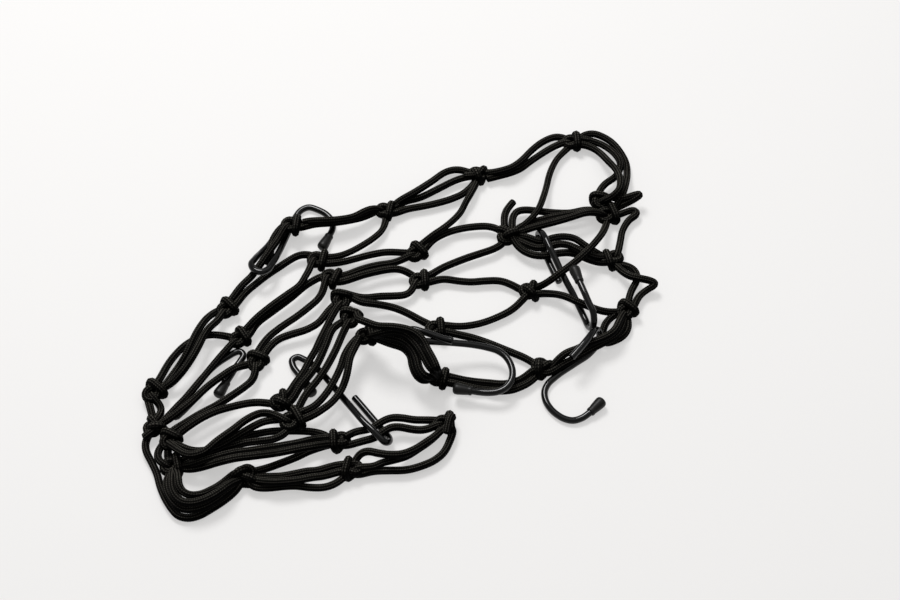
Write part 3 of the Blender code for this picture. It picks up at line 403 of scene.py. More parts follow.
# Each hook: the run of its wire from the cut end of the eye, round the eye, down the shank and
# round the bend to the mouth of the rubber tip, each place with its height, and a place on the
# line that the tip points along.
Hook = namedtuple("Hook", "route tip_toward")
HOOKS = [Hook(*hook) for hook in (
    (((274, 238, 2.6), (268, 246, 2.9), (261.5, 252.5, 5.5), (254.5, 259.5, 11.5),
      (251.3, 264.5, 14.5), (254, 269.5, 15.5), (260.6, 272, 15.6), (267.5, 269.5, 15),
      (273, 262, 13.4), (280, 250, 9), (284, 241.5, 5.8), (287.5, 234, 3.4), (291, 226, 2.8),
      (296, 216.5, 2.8), (301, 210.5, 2.8), (308, 207.5, 2.8), (318, 210, 2.8), (327, 215, 2.8),
      (332, 221, 2.8), (332.5, 229, 3.2), (329.5, 235.5, 4)), (321, 249, 4.3)),
    (((559.5, 282.5, 2.6), (553.7, 272, 2.6), (548, 260, 2.6), (541, 244, 2.6), (538.5, 237, 2.8),
      (538.5, 233.7, 4.6), (539.5, 232.5, 8), (541.8, 233, 12.4), (545, 237.5, 15.2),
      (549, 246, 15.4), (555, 258, 14.2), (561, 271, 12), (567, 283, 9.5), (573, 294, 7),
      (579, 306.5, 5), (585, 319, 4), (589, 327, 6), (592.3, 327.5, 11), (594, 321, 17),
      (593, 311.5, 22), (589, 303, 24), (584.5, 292.5, 25), (579.7, 282, 25)), (573.6, 267.5, 25)),
    (((200, 394, 2.8), (190, 404, 2.8), (181, 413, 2.8), (175.5, 417, 2.8), (172, 415, 2.8),
      (175, 409, 2.8), (184, 399.5, 2.8), (192, 390, 2.8), (205, 375, 2.8), (218, 363, 2.8),
      (228, 356.5, 2.8), (234, 353, 2.8), (239.5, 351.5, 2.8), (243.5, 355, 2.8),
      (240.5, 361, 2.8), (236, 367, 2.8), (231, 375, 3), (226.5, 382, 4)), (218, 395, 4.9)),
    (((354, 397, 2.6), (361, 405, 2.6), (370, 415.5, 2.6), (379, 426, 2.6), (386, 434, 3.2),
      (389.3, 438.5, 5), (388.5, 442, 8.5), (384.5, 441.8, 12), (379, 436.5, 14),
      (372, 429.5, 14.6), (364, 422, 14), (354, 410.5, 12), (344, 399, 9.5), (333, 386, 7.5),
      (322, 373.5, 6), (313, 365, 5), (304, 359.5, 4), (297, 357.2, 3.4), (292.3, 360, 3),
      (293, 366, 2.8), (298, 373.5, 3), (304, 381.5, 4)), (314, 396, 5)),
    (((453, 341, 22), (445, 339, 22), (437, 336.5, 22.5), (422, 331.5, 23), (411, 329.5, 23),
      (405, 332.5, 23), (409, 338.5, 22.5), (424, 341, 21), (440, 342, 19), (455, 343, 17),
      (474, 345, 14.5), (487, 347.5, 13), (497, 350.5, 12.5), (504, 355, 12.5), (509.5, 362, 12.5),
      (512.6, 373, 12.5), (511, 381, 12.5), (506, 387.5, 12), (498, 391.6, 11.2),
      (489, 392.7, 10.5), (480, 392.2, 10.1), (472, 391, 10)), (452, 388, 10)),
    (((571.5, 357.5, 19.4), (580, 348, 20), (588, 338.5, 20), (593, 332, 17.5), (596.5, 329.5, 13),
      (599, 331.5, 9), (599.5, 337, 5.5), (596.8, 344.5, 3.2), (589, 354, 2.7), (575, 363.5, 2.6),
      (555.4, 377, 2.6), (548, 384, 2.6), (544.6, 391.4, 2.6), (545.5, 400, 2.6), (550, 408, 2.6),
      (557, 414.6, 2.6), (565, 419, 2.6), (573, 420.5, 2.6), (582, 418, 3.1),
      (590, 412.5, 4)), (602, 401, 4.9)),
)]


def in_net_frame(places):
    """Turn rows of (across, down, height) in the view into x, y, z in mm in the net's frame."""
    right = np.array((1.0, 0.0, 0.0))
    up = np.array((0.0, math.sin(VIEW_TILT), math.cos(VIEW_TILT)))
    ahead = np.array((0.0, math.cos(VIEW_TILT), -math.sin(VIEW_TILT)))
    eye = -VIEW_DISTANCE * ahead

    def seen(rows):
        sight = (VIEW_SCALE * VIEW_DISTANCE * ahead
                 + np.outer(rows[:, 0] - VIEW_MIDDLE[0], right)
                 + np.outer(VIEW_MIDDLE[1] - rows[:, 1], up))
        return eye + ((rows[:, 2] - eye[2]) / sight[:, 2])[:, None] * sight

    return seen(np.asarray(places, dtype=float)) - seen(np.array([(*NET_MIDDLE, 0.0)]))


# Lines

def unit(way):
    return way / np.linalg.norm(way)


def run_along(points):
    """The distance of each point from the first, along the line through them."""
    return np.concatenate(([0.0], np.cumsum(np.linalg.norm(np.diff(points, axis=0), axis=1))))


def place_along(points, distance):
    """The places at one or more distances along the line through the points."""
    run = run_along(points)
    return np.stack([np.interp(distance, run, column) for column in points.T], axis=-1)


def resampled(points, count):
    """The line through the points as this many evenly spaced ones."""
    return place_along(points, np.linspace(0.0, run_along(points)[-1], count))


def smooth_curve(points, spacing):
    """A smooth curve through the points, evenly spaced."""
    points = np.asarray(points, dtype=float)
    run = run_along(points)
    slopes = np.gradient(points, run, axis=0)
    t = np.linspace(0.0, 1.0, CURVE_POINTS, endpoint=False)[:, None]
    spans = [
        (2 * t**3 - 3 * t**2 + 1) * points[i] + (3 * t**2 - 2 * t**3) * points[i + 1]
        + width * ((t**3 - 2 * t**2 + t) * slopes[i] + (t**3 - t**2) * slopes[i + 1])
        for i, width in enumerate(np.diff(run))
    ]
    curve = np.vstack([*spans, points[-1:]])
    return resampled(curve, max(2, round(run_along(curve)[-1] / spacing)) + 1)


def trimmed(line, from_start, from_end):
    """The part of a line from this far along it to this far from its end."""
    run = run_along(line)
    inner = line[(run > from_start) & (run < run[-1] - from_end)]
    ends = place_along(line, [from_start, run[-1] - from_end])
    return np.vstack([ends[:1], inner, ends[1:]])


def straight(start, end, steps=8):
    """Places from start to end, without start itself."""
    return start + np.linspace(0.0, 1.0, steps + 1)[1:, None] * (end - start)


def to_neighbours(values):
    """How far half the way is from each inner row to the middle of its two neighbours."""
    return 0.5 * ((values[:-2] + values[2:]) / 2 - values[1:-1])


def smoothed(values, times):
    """Each row drawn to its neighbours this many times, the two ends kept."""
    values = values.copy()
    for _ in range(times):
        values[1:-1] += to_neighbours(values)
    return values


def drawn_straight(line, loose):
    """The line as tension leaves it: smooth, and straighter where it is loose."""
    line = line.copy()
    for freedom in [loose] * STRAIGHTEN_ROUNDS + [np.ones(len(line))] * LAST_ROUNDS:
        line[1:-1] += freedom[1:-1, None] * to_neighbours(line)
    return line


def ease(value, start, end):
    """0 up to start, 1 from end on, and smooth between."""
    t = np.clip((value - start) / (end - start), 0.0, 1.0)
    return t * t * (3.0 - 2.0 * t)


# How the strands lie

def with_heights(places):
    """Give every place of a route a height, from the stated ones before and after it."""
    run = run_along(np.array([place[:2] for place in places], dtype=float))
    stated = [i for i, place in enumerate(places) if len(place) == 3]
    heights = np.interp(run, run[stated], [places[i][2] for i in stated])
    return np.array([(*place[:2], height) for place, height in zip(places, heights)])


def height_over(line, own, thing, reach, rise, under_by):
    """How high each point of the line must be to pass over a thing, -inf where it is clear of it.

    reach and rise are the half width and half height of what must stay clear round the thing's
    points. A point whose own height is under_by or more below the thing passes under it.
    """
    away = np.linalg.norm(line[:, None, :2] - thing[None, :, :2], axis=2) / reach
    over = thing[:, 2] + rise * np.sqrt(np.maximum(1.0 - away**2, 0.0))
    passes = (away < 1.0) & (thing[:, 2] < own[:, None] + under_by)
    return np.where(passes, over, -np.inf).max(axis=1)


def lay_strand(strand, laid, hook_lines):
    """The centre line of a strand in mm, lifted over the strands, knots and hooks below it.

    laid holds each strand below with its knots, and hook_lines each line of a hook's wire or tip
    with its radius.
    """
    own_knots = {number for number in (strand.start, strand.end) if number}
    last = [KNOTS[strand.end][:3]] if strand.end else []
    places = with_heights([KNOTS[strand.start][:3], *strand.route, *last])
    places = smooth_curve(places, LAY_STEP * VIEW_SCALE)
    own = places[:, 2].copy()
    middles = {number: in_net_frame([knot[:3]]) for number, knot in KNOTS.items()}
    beside = CORD + CORD_GAP
    past_knot = (CORD + KNOT_WIDTH) / 2 + PIECE_GAP
    over_knot = (CORD + KNOT_HEIGHT) / 2 + PIECE_GAP
    for _ in range(LAY_ROUNDS):
        line = in_net_frame(places)
        from_knots = {number: np.linalg.norm(line - middles[number], axis=1)
                      for number in own_knots}
        need = np.maximum(own, CORD / 2)
        for other, other_knots in laid:
            over = height_over(line, own, other, beside, beside, UNDER_BY)
            apart = np.ones(len(line))
            for number in own_knots & other_knots:
                apart = np.minimum(apart, ease(from_knots[number], FREE_OF_KNOT, CLEAR_OF_KNOT))
            need = np.maximum(need, own + apart * np.maximum(over - own, 0.0))
        for hook_line, radius in hook_lines:
            past_hook = CORD_CORNER + radius + PIECE_GAP
            over = height_over(line, own, hook_line, past_hook, past_hook, 0.0)
            need = np.maximum(need, over)
        for number, middle in middles.items():
            if number not in own_knots:
                over = height_over(line, own, middle, past_knot, over_knot, 0.0)
                need = np.maximum(need, over)
        run = run_along(line)
        draped = (need - (run[:, None] - run) ** 2 / (2 * LAY_BEND)).max(axis=1)
        held = np.zeros(len(line))
        for away in from_knots.values():
            held = np.maximum(held, 1.0 - ease(away, KNOT_WIDTH / 4, KNOT_LENGTH))
        places[:, 2] = held * own + (1.0 - held) * draped
    return in_net_frame(places)


def hook_run(hook):
    """The centre line of a hook's wire up to the mouth of its tip, and the way the tip points."""
    line = smooth_curve(in_net_frame(hook.route), WIRE_SPACING)
    return line, unit(in_net_frame([hook.tip_toward])[0] - line[-1])


def lines_of(hook):
    """The lines along a hook's wire and along its tip, each with its radius."""
    line, way = hook_run(hook)
    tip = line[-1] + np.outer(np.arange(0.0, TIP_LENGTH, LAY_STEP), way)
    return [(line, WIRE / 2), (tip, TIP_RADIUS)]


# Knots

def tight_knot():
    """The bight and the wrapping cord of a tight sheet bend, in cord diameters.

    Every point is drawn to the middle of its neighbours, as in a cord under tension, and two
    points that are nearer than a diameter are pushed apart, until the knot has closed.
    """
    counts = (BIGHT_POINTS, WRAP_POINTS)
    cords = [resampled(smooth_curve(route, LOOSE_SPACING), count)
             for route, count in zip((BIGHT, WRAP), counts)]
    owner = np.repeat((0, 1), counts)
    place = np.concatenate([np.arange(count) for count in counts])
    for turn in range(TIGHTEN_ROUNDS):
        if turn % TIGHTEN_EVEN == 0:
            cords = [resampled(cord, count) for cord, count in zip(cords, counts)]
            spacing = np.array([run_along(cord)[-1] / (len(cord) - 1) for cord in cords])
            apart = np.abs(place[:, None] - place) * spacing[owner][:, None]
            may_meet = (owner[:, None] == owner) & (apart < TIGHTEN_NEAR)
            wanted = np.where(may_meet, 0.0, 1.0)
        for cord in cords:
            cord[1:-1] += to_neighbours(cord)
        points = np.vstack(cords)
        for _ in range(TIGHTEN_PUSHES):
            gaps = points[:, None] - points
            away = np.linalg.norm(gaps, axis=2) + TINY
            push = np.maximum(wanted - away, 0.0)
            count = np.maximum((push > 0.0).sum(axis=1), 1)
            moves = (gaps * (push / away)[:, :, None]).sum(axis=1)
            points += TIGHTEN_STEP * moves / np.sqrt(count)[:, None]
        ends = [cord[i] for cord in cords for i in (0, -1)]
        points[[0, BIGHT_POINTS - 1, BIGHT_POINTS, -1]] = ends
        cords = [points[:BIGHT_POINTS], points[BIGHT_POINTS:]]
    bight, wrap = cords
    bight = bight[bight[:, 0] > KNOT_LEG_END]
    wrap = wrap[wrap[:, 0] < KNOT_TAIL_END]
    middle = KNOT_MIDDLE * bight[:, 0].max() + (1 - KNOT_MIDDLE) * wrap[:, 0].min()
    return bight - (middle, 0.0, 0.0), wrap - (middle, 0.0, 0.0)


def knot_in_place(knot, cords):
    """The two cords of one knot in mm, turned, rolled and pressed flat.

    The lobe of the knot that tight_knot() makes points along +X, and so its band along -X.
    """
    roll = Matrix.Rotation(math.radians(knot.roll), 3, "X")
    turn = Matrix.Rotation(math.radians(knot.turn + 180.0), 3, "Z")
    middle = in_net_frame([knot[:3]])[0]
    placed = []
    for cord in cords:
        points = knot.size * KNOT_CORD * (cord @ np.array(roll).T) * (1.0, 1.0, KNOT_PRESSED)
        placed.append(points @ np.array(turn).T)
    lowest = min(points[:, 2].min() for points in placed)
    middle[2] = max(middle[2], min(KNOT_CORD / 2 - lowest, KNOT_HEIGHT / 2 + KNOT_RISE))
    for points in placed:
        points += middle
        points[:, 2] = np.maximum(points[:, 2], KNOT_CORD / 2)
    return placed


def port_way(cord, end):
    """The unit direction in which a knot's cord leaves it at its first or last point."""
    return unit(cord[0] - cord[2] if end == 0 else cord[-1] - cord[-3])


def share_ports(knot_cords, leaving):
    """Which of the strands that meet at a knot goes on from which end of the knot's cords.

    leaving holds each strand's direction away from the knot. The four ends are (cord, end) pairs.
    The answer has a strand's place in leaving for each end, or None for a cut tail.
    """
    ports = [(cord, end) for cord in (0, 1) for end in (0, 1)]
    middle = np.vstack(knot_cords).mean(axis=0)
    ways = []
    for cord, end in ports:
        out = unit(knot_cords[cord][-end] - middle)
        ways.append(unit(port_way(knot_cords[cord], end) + PORT_PLACE * out))
    angle = np.arccos(np.clip(np.array(leaving) @ np.array(ways).T, -1.0, 1.0))
    choices = list(range(len(leaving))) + [None] * max(0, len(ports) - len(leaving))
    best = None
    for picked in itertools.permutations(choices, len(ports)):
        cost = sum(angle[strand, port] ** 2 for port, strand in enumerate(picked)
                   if strand is not None)
        if best is None or cost < best[0]:
            best = (cost, picked)
    return dict(zip(ports, best[1]))


def with_radius(points, thick, loose=0.0):
    """Rows of x, y, z, radius, and how freely the cord may draw itself straight there."""
    columns = np.full((len(points), 2), (thick / 2, loose))
    return np.column_stack([points, columns])


def cords_of_net(lines):
    """The net's cords as long lines of such rows, with the knots that each one ties.

    A strand goes over into one of a knot's two cords where the knot has an end for it. Further
    strands end inside the knot. A knot's end that no strand takes is cut off short.
    """
    shape = tight_knot()
    knots = {number: knot_in_place(knot, shape) for number, knot in KNOTS.items()}
    meeting = {number: [] for number in KNOTS}
    for i, strand in enumerate(STRANDS):
        meeting[strand.start].append((i, 0))
        if strand.end:
            meeting[strand.end].append((i, 1))
    port_of = {}
    strand_at = {}
    trims = {}
    for number, ends in meeting.items():
        leaving = []
        for i, end in ends:
            line = lines[i] if end == 0 else lines[i][::-1]
            trims[i, end] = min(KNOT_RADIUS, KNOT_SHARE * run_along(line)[-1])
            leaving.append(unit(place_along(line, trims[i, end]) - line[0]))
        for port, picked in share_ports(knots[number], leaving).items():
            if picked is not None:
                port_of[ends[picked]] = (number, *port)
                strand_at[(number, *port)] = ends[picked]
    short = [trimmed(line, trims.get((i, 0), 0.0), trims.get((i, 1), 0.0))
             for i, line in enumerate(lines)]

    def strand_rows(i, near):
        """A strand's own stretch, seen from one of its ends, loose where it nears a knot."""
        line = short[i] if near == 0 else short[i][::-1]
        taut = STRANDS[i][:2] in TAUT_STRANDS
        rows = with_radius(line, TAUT_CORD if taut else SLACK_CORD)
        run = run_along(line)
        rows[:, 4] = 1.0 - ease(np.minimum(run, run[-1] - run), *FREE_STRAND)
        return rows

    def into_knot(i, end):
        """The last stretch of a strand that ends inside a knot, or nothing for a free end."""
        number = STRANDS[i][end]
        if number is None:
            return np.empty((0, 5))
        middle = np.vstack(knots[number]).mean(axis=0)
        start = short[i][-end]
        last = middle + HIDDEN_PAST * unit(middle - start)
        last[2] = max(last[2] - HIDDEN_BELOW, KNOT_THICK / 2)
        return with_radius(straight(start, last), HIDDEN_THICK, HIDDEN_LOOSE)

    def tail(number, cord, end):
        """A cut end, from the knot outward."""
        points = knots[number][cord]
        reach = TAIL * np.linspace(1 / TAIL_POINTS, 1.0, TAIL_POINTS)
        out = points[-end] + np.outer(reach, port_way(points, end))
        drop = TAIL_DROP * np.linspace(0.0, 1.0, TAIL_POINTS) ** 2
        out[:, 2] = np.maximum(out[:, 2] - drop, SLACK_CORD / 2)
        return with_radius(out, KNOT_THICK + TAIL_SWELL)

    used_strands = set()
    used_cords = set()

    def walk(number, cord, end):
        """The line that enters a knot's cord at this end and runs on as far as it can."""
        rows = []
        tied = []
        while (number, cord) not in used_cords:
            used_cords.add((number, cord))
            tied.append((number, cord))
            points = knots[number][cord]
            held = with_radius(points if end == 0 else points[::-1], KNOT_THICK)
            inside = run_along(held[:, :3])
            held[:, 4] = 1.0 - ease(np.minimum(inside, inside[-1] - inside), *FREE_IN_KNOT)
            rows.append(held)
            out = (number, cord, 1 - end)
            if out not in strand_at:
                rows.append(tail(*out))
                break
            i, near = strand_at[out]
            used_strands.add(i)
            rows.append(strand_rows(i, near))
            far = (i, 1 - near)
            if far not in port_of:
                rows.append(into_knot(*far))
                break
            number, cord, end = port_of[far]
        else:
            meets = knots[number][cord][-end]
            rows.append(with_radius(straight(rows[-1][-1, :3], meets), KNOT_THICK, 1.0))
        return rows, tied

    cords = []
    for i, near in itertools.product(range(len(STRANDS)), (0, 1)):
        if i in used_strands or (i, near) in port_of:
            continue
        used_strands.add(i)
        rows = [into_knot(i, near)[::-1], strand_rows(i, near)]
        far = (i, 1 - near)
        more, tied = walk(*port_of[far]) if far in port_of else ([into_knot(*far)], [])
        cords.append((np.vstack(rows + more), tied))
    ports = list(itertools.product(KNOTS, (0, 1), (0, 1)))
    tails = [port for port in ports if port not in strand_at]
    for number, cord, end in tails + [port for port in ports if port[2] == 0]:
        if (number, cord) in used_cords:
            continue
        before = [tail(number, cord, end)[::-1]] if (number, cord, end) not in strand_at else []
        rows, tied = walk(number, cord, end)
        cords.append((np.vstack(before + rows), tied))
    return cords


# Meshes

def frames_along(line):
    """Each point's direction along a line, and a side and a top that turn as little as can be."""
    steps = np.diff(line, axis=0)
    steps /= np.linalg.norm(steps, axis=1)[:, None]
    ways = np.vstack([steps[:1], steps[:-1] + steps[1:], steps[-1:]])
    ways /= np.linalg.norm(ways, axis=1)[:, None]
    top = np.array((1.0, 0.0, 0.0) if abs(ways[0][2]) > STEEP else (0.0, 0.0, 1.0))
    sides = np.empty_like(ways)
    tops = np.empty_like(ways)
    for i, way in enumerate(ways):
        sides[i] = unit(np.cross(way, top))
        top = np.cross(sides[i], way)
        tops[i] = top
    return ways, sides, tops


def round_ways(count, side, top):
    """This many directions from side round by way of top, for one such pair or for rows of them."""
    turns = 2 * math.pi * np.arange(count)[:, None] / count
    return np.cos(turns) * side[..., None, :] + np.sin(turns) * top[..., None, :]


def tube_faces(rings, sides):
    """The faces of a tube of rings, and the place in the ring and in the tube of their corners.

    The faces of the two ends come last, and have no such places.
    """
    j, i = np.meshgrid(np.arange(rings - 1), np.arange(sides), indexing="ij")
    j = j.ravel()
    i = i.ravel()
    after = (i + 1) % sides
    faces = np.column_stack([j * sides + i, j * sides + after, (j + 1) * sides + after,
                             (j + 1) * sides + i])
    around = np.column_stack([i, i + 1, i + 1, i])
    along = np.column_stack([j, j, j + 1, j + 1])
    first = list(range(sides))[::-1]
    last = list(range((rings - 1) * sides, rings * sides))
    return faces.tolist() + [first, last], around, along


def cord_mesh(rows):
    """Vertices, faces and braid map of a braided cord along its rows.

    The braid's ribs and grooves run along the cord by turns, and every other ring is a stitch.
    The two ends are cut off and sealed with heat, so that they are slightly domed.
    """
    run = run_along(rows[:, :3])
    rings = max(4, round(run[-1] / BRAID_STEP)) + 1
    keep = np.concatenate([[True], np.diff(run) > SAME_PLACE])
    even = np.linspace(0.0, run[-1], rings)
    rows = np.stack([np.interp(even, run[keep], column[keep]) for column in rows.T], axis=1)
    line = drawn_straight(rows[:, :3], smoothed(rows[:, 4], FREE_ROUNDS))
    _, sides, tops = frames_along(line)
    wander = sum(np.sin(even / reach + start) for reach, start in CORD_WAVES) / len(CORD_WAVES)
    radius = smoothed(rows[:, 3], THICK_ROUNDS) * (1.0 + CORD_UNEVEN * wander)
    line[:, 2] = np.maximum(line[:, 2], radius + BRAID_RIB)
    rib = 1 - 2 * (np.arange(BRAID_SIDES) % 2)
    stitch = 1 - 2 * (np.arange(rings)[:, None] % 2)
    from_end = np.minimum(even, even[-1] - even) / SEALED_END
    dome = np.sqrt(1.0 - (1.0 - np.clip(from_end, SEALED_LEAST, 1.0)) ** 2)
    out = (radius[:, None] + BRAID_RIB * rib + BRAID_STITCH * stitch * rib) * dome[:, None]
    points = line[:, None] + out[:, :, None] * round_ways(BRAID_SIDES, sides, tops)
    faces, around, along = tube_faces(rings, BRAID_SIDES)
    braid = np.stack([around, along], axis=-1).reshape(-1, 2) / BRAID_SIDES
    ends = np.full((2 * BRAID_SIDES, 2), (END_OFF_RIB / (BRAID_SIDES / 2), 0.0))
    return points.reshape(-1, 3), faces, np.vstack([braid, ends])


def wire_mesh(line):
    """A smooth round wire whose first end is cut off with a rounded edge."""
    ways, sides, tops = frames_along(line)
    first = round_ways(WIRE_SIDES, sides[0], tops[0])
    rings = [line[0] + WIRE_EDGE * (1 - math.sin(bend)) * ways[0]
             + (WIRE / 2 - WIRE_EDGE * (1 - math.cos(bend))) * first
             for bend in np.linspace(0.0, math.pi / 2, WIRE_EDGE_RINGS)[::-1]]
    begun = run_along(line) > WIRE_EDGE
    rings.extend(line[begun, None] + WIRE / 2 * round_ways(WIRE_SIDES, sides[begun], tops[begun]))
    return np.vstack(rings), tube_faces(len(rings), WIRE_SIDES)[0]


def tip_mesh(mouth, way):
    """A moulded cap: a turned shape with a rolled lip and a domed end."""
    side = unit(np.cross(way, (0.0, 0.0, 1.0)))
    round_way = round_ways(TIP_SIDES, side, np.cross(side, way))
    rings = [mouth + reach * way + radius * round_way for reach, radius in TIP_SECTION]
    return np.vstack(rings), tube_faces(len(rings), TIP_SIDES)[0]


def add_object(name, data):
    """An object in the scene that holds this mesh, light or camera."""
    made = bpy.data.objects.new(name, data)
    bpy.context.scene.collection.objects.link(made)
    return made


def add_piece(name, vertices, faces, material, slot, braid=None):
    """A smooth-shaded mesh in metres that rides with the net."""
    mesh = bpy.data.meshes.new(name)
    mesh.from_pydata((np.asarray(vertices) * MM).tolist(), [], faces)
    mesh.shade_smooth()
    mesh.set_sharp_from_angle(angle=SHARP)
    if braid is not None:
        layer = mesh.uv_layers.new(name=BRAID_MAP)
        layer.uv.foreach_set("vector", np.asarray(braid, dtype=np.float32).ravel())
    mesh.materials.append(material)
    piece = add_object(name, mesh)
    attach(piece, "root")
    return piece


def build_cords(material):
    """Every cord of the net, which hides the CAD's sections whose knots' bights it forms."""
    hook_lines = [line for hook in HOOKS for line in lines_of(hook)]
    laid = []
    for strand in STRANDS:
        laid.append((lay_strand(strand, laid, hook_lines), {strand.start, strand.end}))
    cords = cords_of_net([line for line, _ in laid])
    for count, (rows, tied) in enumerate(cords, 1):
        vertices, faces, braid = cord_mesh(rows)
        piece = add_piece(f"cord_{count:02d}", vertices, faces, material, "cord_sheath", braid)
        sections = sorted(number for number, cord in tied if cord == 0 and number != SHARING_KNOT)
        if sections:
            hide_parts(*[f"net_section_{section:02d}" for section in sections])


def build_hooks(coating, rubber):
    for number, hook in enumerate(HOOKS, 1):
        plain, way = hook_run(hook)
        line = smooth_curve(in_net_frame(hook.route), WIRE_STEP)
        line = np.vstack([line, line[-1] + np.outer(WIRE_IN_TIP, way)])
        wire = add_piece(f"hook_wire_{number}", *wire_mesh(line), coating, "hook_coating")
        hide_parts(f"hook_{number}")
        tip = add_piece(f"rubber_tip_{number}", *tip_mesh(plain[-1], way), rubber, "tip_rubber")
        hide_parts(f"hook_tip_{number}")


# Materials

def new_material(name, values):
    """A material with these values on its shader, and functions that add and link its nodes."""
    material = bpy.data.materials.new(name)
    material.use_nodes = True
    tree = material.node_tree
    shader = tree.nodes["Principled BSDF"]
    for key, value in values.items():
        shader.inputs[key].default_value = value

    def node(kind, inputs=(), output=0, **settings):
        """Add a node, whose inputs are values or other nodes' sockets, and get its output."""
        made = tree.nodes.new("ShaderNode" + kind)
        for key, value in settings.items():
            setattr(made, key, value)
        for key, value in dict(inputs).items():
            if isinstance(value, bpy.types.NodeSocket):
                tree.links.new(value, made.inputs[key])
            else:
                made.inputs[key].default_value = value
        return made.outputs[output]

    def link(socket, name):
        tree.links.new(socket, shader.inputs[name])

    return material, node, link


def maths(node, operation, first, second=0.0):
    return node("Math", {0: first, 1: second}, operation=operation)


def between(node, value, start, end, low, high):
    """low where the value is start and high where it is end, and evenly between the two."""
    return node("MapRange", {"Value": value, "From Min": start, "From Max": end, "To Min": low,
                             "To Max": high})


def noise(node, scale, detail, roughness):
    """Noise of about 0 to 1 through the solid, with this many of its waves to the metre."""
    place = node("TexCoord", output="Object")
    return node("TexNoise", {"Vector": place, "Scale": scale, "Detail": detail,
                             "Roughness": roughness})


def mixed(node, share, first, second):
    """The first colour where the share is 0, and the second where it is 1."""
    return node("Mix", {0: share, 6: (*first, 1.0), 7: (*second, 1.0)}, output=2,
                data_type="RGBA")


def cord_material():
    """Braided polyester sheath: near black, its stitches leaning both ways off each rib. Its crowns
    carry a painted highlight, and its grooves and the sides turned from the lamp painted shade.
    """
    material, node, link = new_material("cord_sheath", {
        "Specular IOR Level": 0.03, "Sheen Weight": 0.002, "Sheen Roughness": 0.45,
        "Sheen Tint": (1.0, 0.96, 0.9, 1.0)})
    spots = node("SeparateXYZ", {0: node("UVMap", uv_map=BRAID_MAP)}).node
    half = BRAID_SIDES / 2
    ribs = maths(node, "MULTIPLY", spots.outputs[0], half)
    stitches = maths(node, "MULTIPLY", spots.outputs[1], half)
    # How far from the nearest rib: 0 on it, and 1/2 in a groove
    off_rib = maths(node, "ABSOLUTE", maths(node, "SUBTRACT", ribs, maths(node, "ROUND", ribs)))
    lean = maths(node, "SUBTRACT", stitches, maths(node, "MULTIPLY", off_rib, STITCH_LEAN))
    # Both are 1 in the middle of a yarn or a rib, and 0 in the gap beside it
    yarn = maths(node, "ABSOLUTE", maths(node, "COSINE", maths(node, "MULTIPLY", lean, math.pi)))
    rib = maths(node, "COSINE", maths(node, "MULTIPLY", off_rib, math.pi))
    crown = maths(node, "MULTIPLY", maths(node, "POWER", yarn, YARN_CROWN),
                  maths(node, "POWER", rib, RIB_CROWN))
    threads = maths(node, "SINE", maths(node, "MULTIPLY", lean, 2 * math.pi * THREADS))
    height = maths(node, "ADD", crown, maths(node, "MULTIPLY", threads, THREAD_HEIGHT))
    # The crowns of the yarns carry a painted highlight and the gaps between them painted shade.
    # Worn patches and specks of lint are paler, on the crowns of the yarns
    patches = noise(node, scale=45.0, detail=5.0, roughness=0.6)
    lint = noise(node, scale=700.0, detail=2.0, roughness=0.7)
    worn = between(node, patches, start=0.3, end=0.7, low=0.6, high=1.15)
    specks = between(node, lint, start=0.45, end=0.75, low=0.0, high=0.5)
    tone = maths(node, "MULTIPLY", maths(node, "POWER", crown, CROWN_HIGHLIGHT_POWER), worn)
    tone = maths(node, "ADD", tone, maths(node, "MULTIPLY", crown, specks))
    # Painted light and shade: sides turned towards the key lamp are lighter, and sides turned away
    # from it darker
    facing = node("VectorMath", {0: node("NewGeometry", output="Normal"), 1: PAINTED_LIGHT_WAY},
                  output="Value", operation="DOT_PRODUCT")
    painted_light = between(node, facing, start=0.1, end=1.0, low=0.0, high=1.0)
    tone = maths(node, "MULTIPLY", tone, maths(node, "POWER", painted_light, PAINTED_SHADE_POWER))
    link(mixed(node, tone, CORD_SHADE, CORD_CROWN), "Base Color")
    link(between(node, crown, start=0.0, end=1.0, low=0.9, high=0.5), "Roughness")
    link(node("Bump", {"Height": height, "Strength": 0.6, "Distance": 0.0003}), "Normal")
    return material


def coating_material():
    """Smooth black coating on wire, glossy, with faint ripples, scuffs and dust."""
    material, node, link = new_material("hook_coating", {
        "Specular IOR Level": 0.12, "Coat Weight": 0.3, "Coat Roughness": 0.07})
    scuffs = noise(node, scale=160.0, detail=6.0, roughness=0.65)
    ripples = noise(node, scale=55.0, detail=2.0, roughness=0.4)
    link(between(node, scuffs, start=0.35, end=0.75, low=0.06, high=0.16), "Roughness")
    link(mixed(node, scuffs, COATING_CLEAN, COATING_SCUFFED), "Base Color")
    link(node("Bump", {"Height": ripples, "Strength": 0.12, "Distance": 0.0004}), "Normal")
    return material


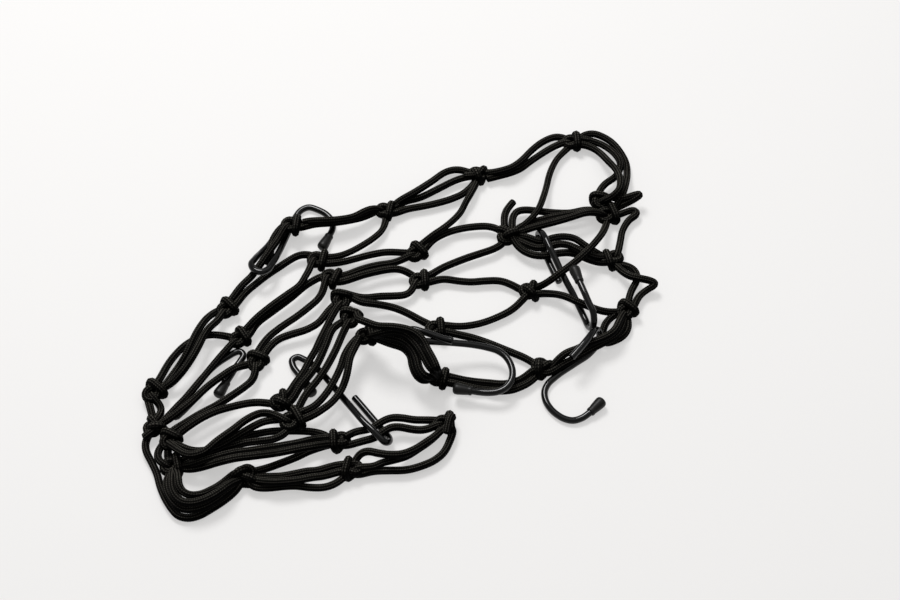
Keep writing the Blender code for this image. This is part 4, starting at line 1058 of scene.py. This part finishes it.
def rubber_material():
    """Matt moulded rubber, finely pitted, a little worn and dusty."""
    material, node, link = new_material("tip_rubber", {"Specular IOR Level": 0.2})
    grain = noise(node, scale=1400.0, detail=3.0, roughness=0.6)
    dust = noise(node, scale=120.0, detail=5.0, roughness=0.6)
    link(mixed(node, dust, RUBBER_CLEAN, RUBBER_DUSTY), "Base Color")
    link(between(node, dust, start=0.0, end=1.0, low=0.32, high=0.5), "Roughness")
    link(node("Bump", {"Height": grain, "Strength": 0.25, "Distance": 0.0001}), "Normal")
    return material


# Stage

def build_stage():
    """A plain pale floor."""
    mesh = bpy.data.meshes.new("floor")
    corners = [(x * FLOOR_REACH, y * FLOOR_REACH, 0.0)
               for x, y in ((-1, -1), (1, -1), (1, 1), (-1, 1))]
    mesh.from_pydata(corners, [], [(0, 1, 2, 3)])
    floor = add_object("floor", mesh)
    material, _, _ = new_material("floor_paper", {
        "Base Color": (*FLOOR_COLOUR, 1.0), "Roughness": 0.9, "Specular IOR Level": 0.1,
        "Emission Color": (*FLOOR_GLOW, 1.0), "Emission Strength": FLOOR_GLOW_STRENGTH})
    mesh.materials.append(material)


def build_lights():
    """Soft light from all round, and two round lamps that point at the net."""
    world = bpy.data.worlds.new("studio")
    bpy.context.scene.world = world
    world.use_nodes = True
    background = world.node_tree.nodes["Background"]
    background.inputs["Color"].default_value = (1.0, 1.0, 1.0, 1.0)
    background.inputs["Strength"].default_value = WORLD_STRENGTH
    for name, place, size, power in LIGHTS:
        light = bpy.data.lights.new(name, "AREA")
        light.shape = "DISK"
        light.size = size
        light.energy = power
        holder = add_object(name, light)
        holder.location = place
        holder.rotation_euler = Vector(place).to_track_quat("Z", "Y").to_euler()


def build_camera():
    """The photograph's view: the picture's middle sees the ground VIEW_DISTANCE away."""
    camera = bpy.data.cameras.new("camera")
    camera.sensor_width = SENSOR
    camera.lens = SENSOR * VIEW_SCALE * VIEW_DISTANCE / VIEW_WIDTH
    holder = add_object("camera", camera)
    ahead = np.array((0.0, math.cos(VIEW_TILT), -math.sin(VIEW_TILT)))
    looked_at = in_net_frame([(*VIEW_MIDDLE, 0.0)])[0]
    holder.location = (looked_at - VIEW_DISTANCE * ahead) * MM
    holder.rotation_euler = (math.pi / 2 - VIEW_TILT, 0.0, 0.0)
    bpy.context.scene.camera = holder


bpy.context.scene.view_settings.view_transform = "Standard"
build_camera()
build_lights()
build_stage()
build_cords(cord_material())
build_hooks(coating_material(), rubber_material())
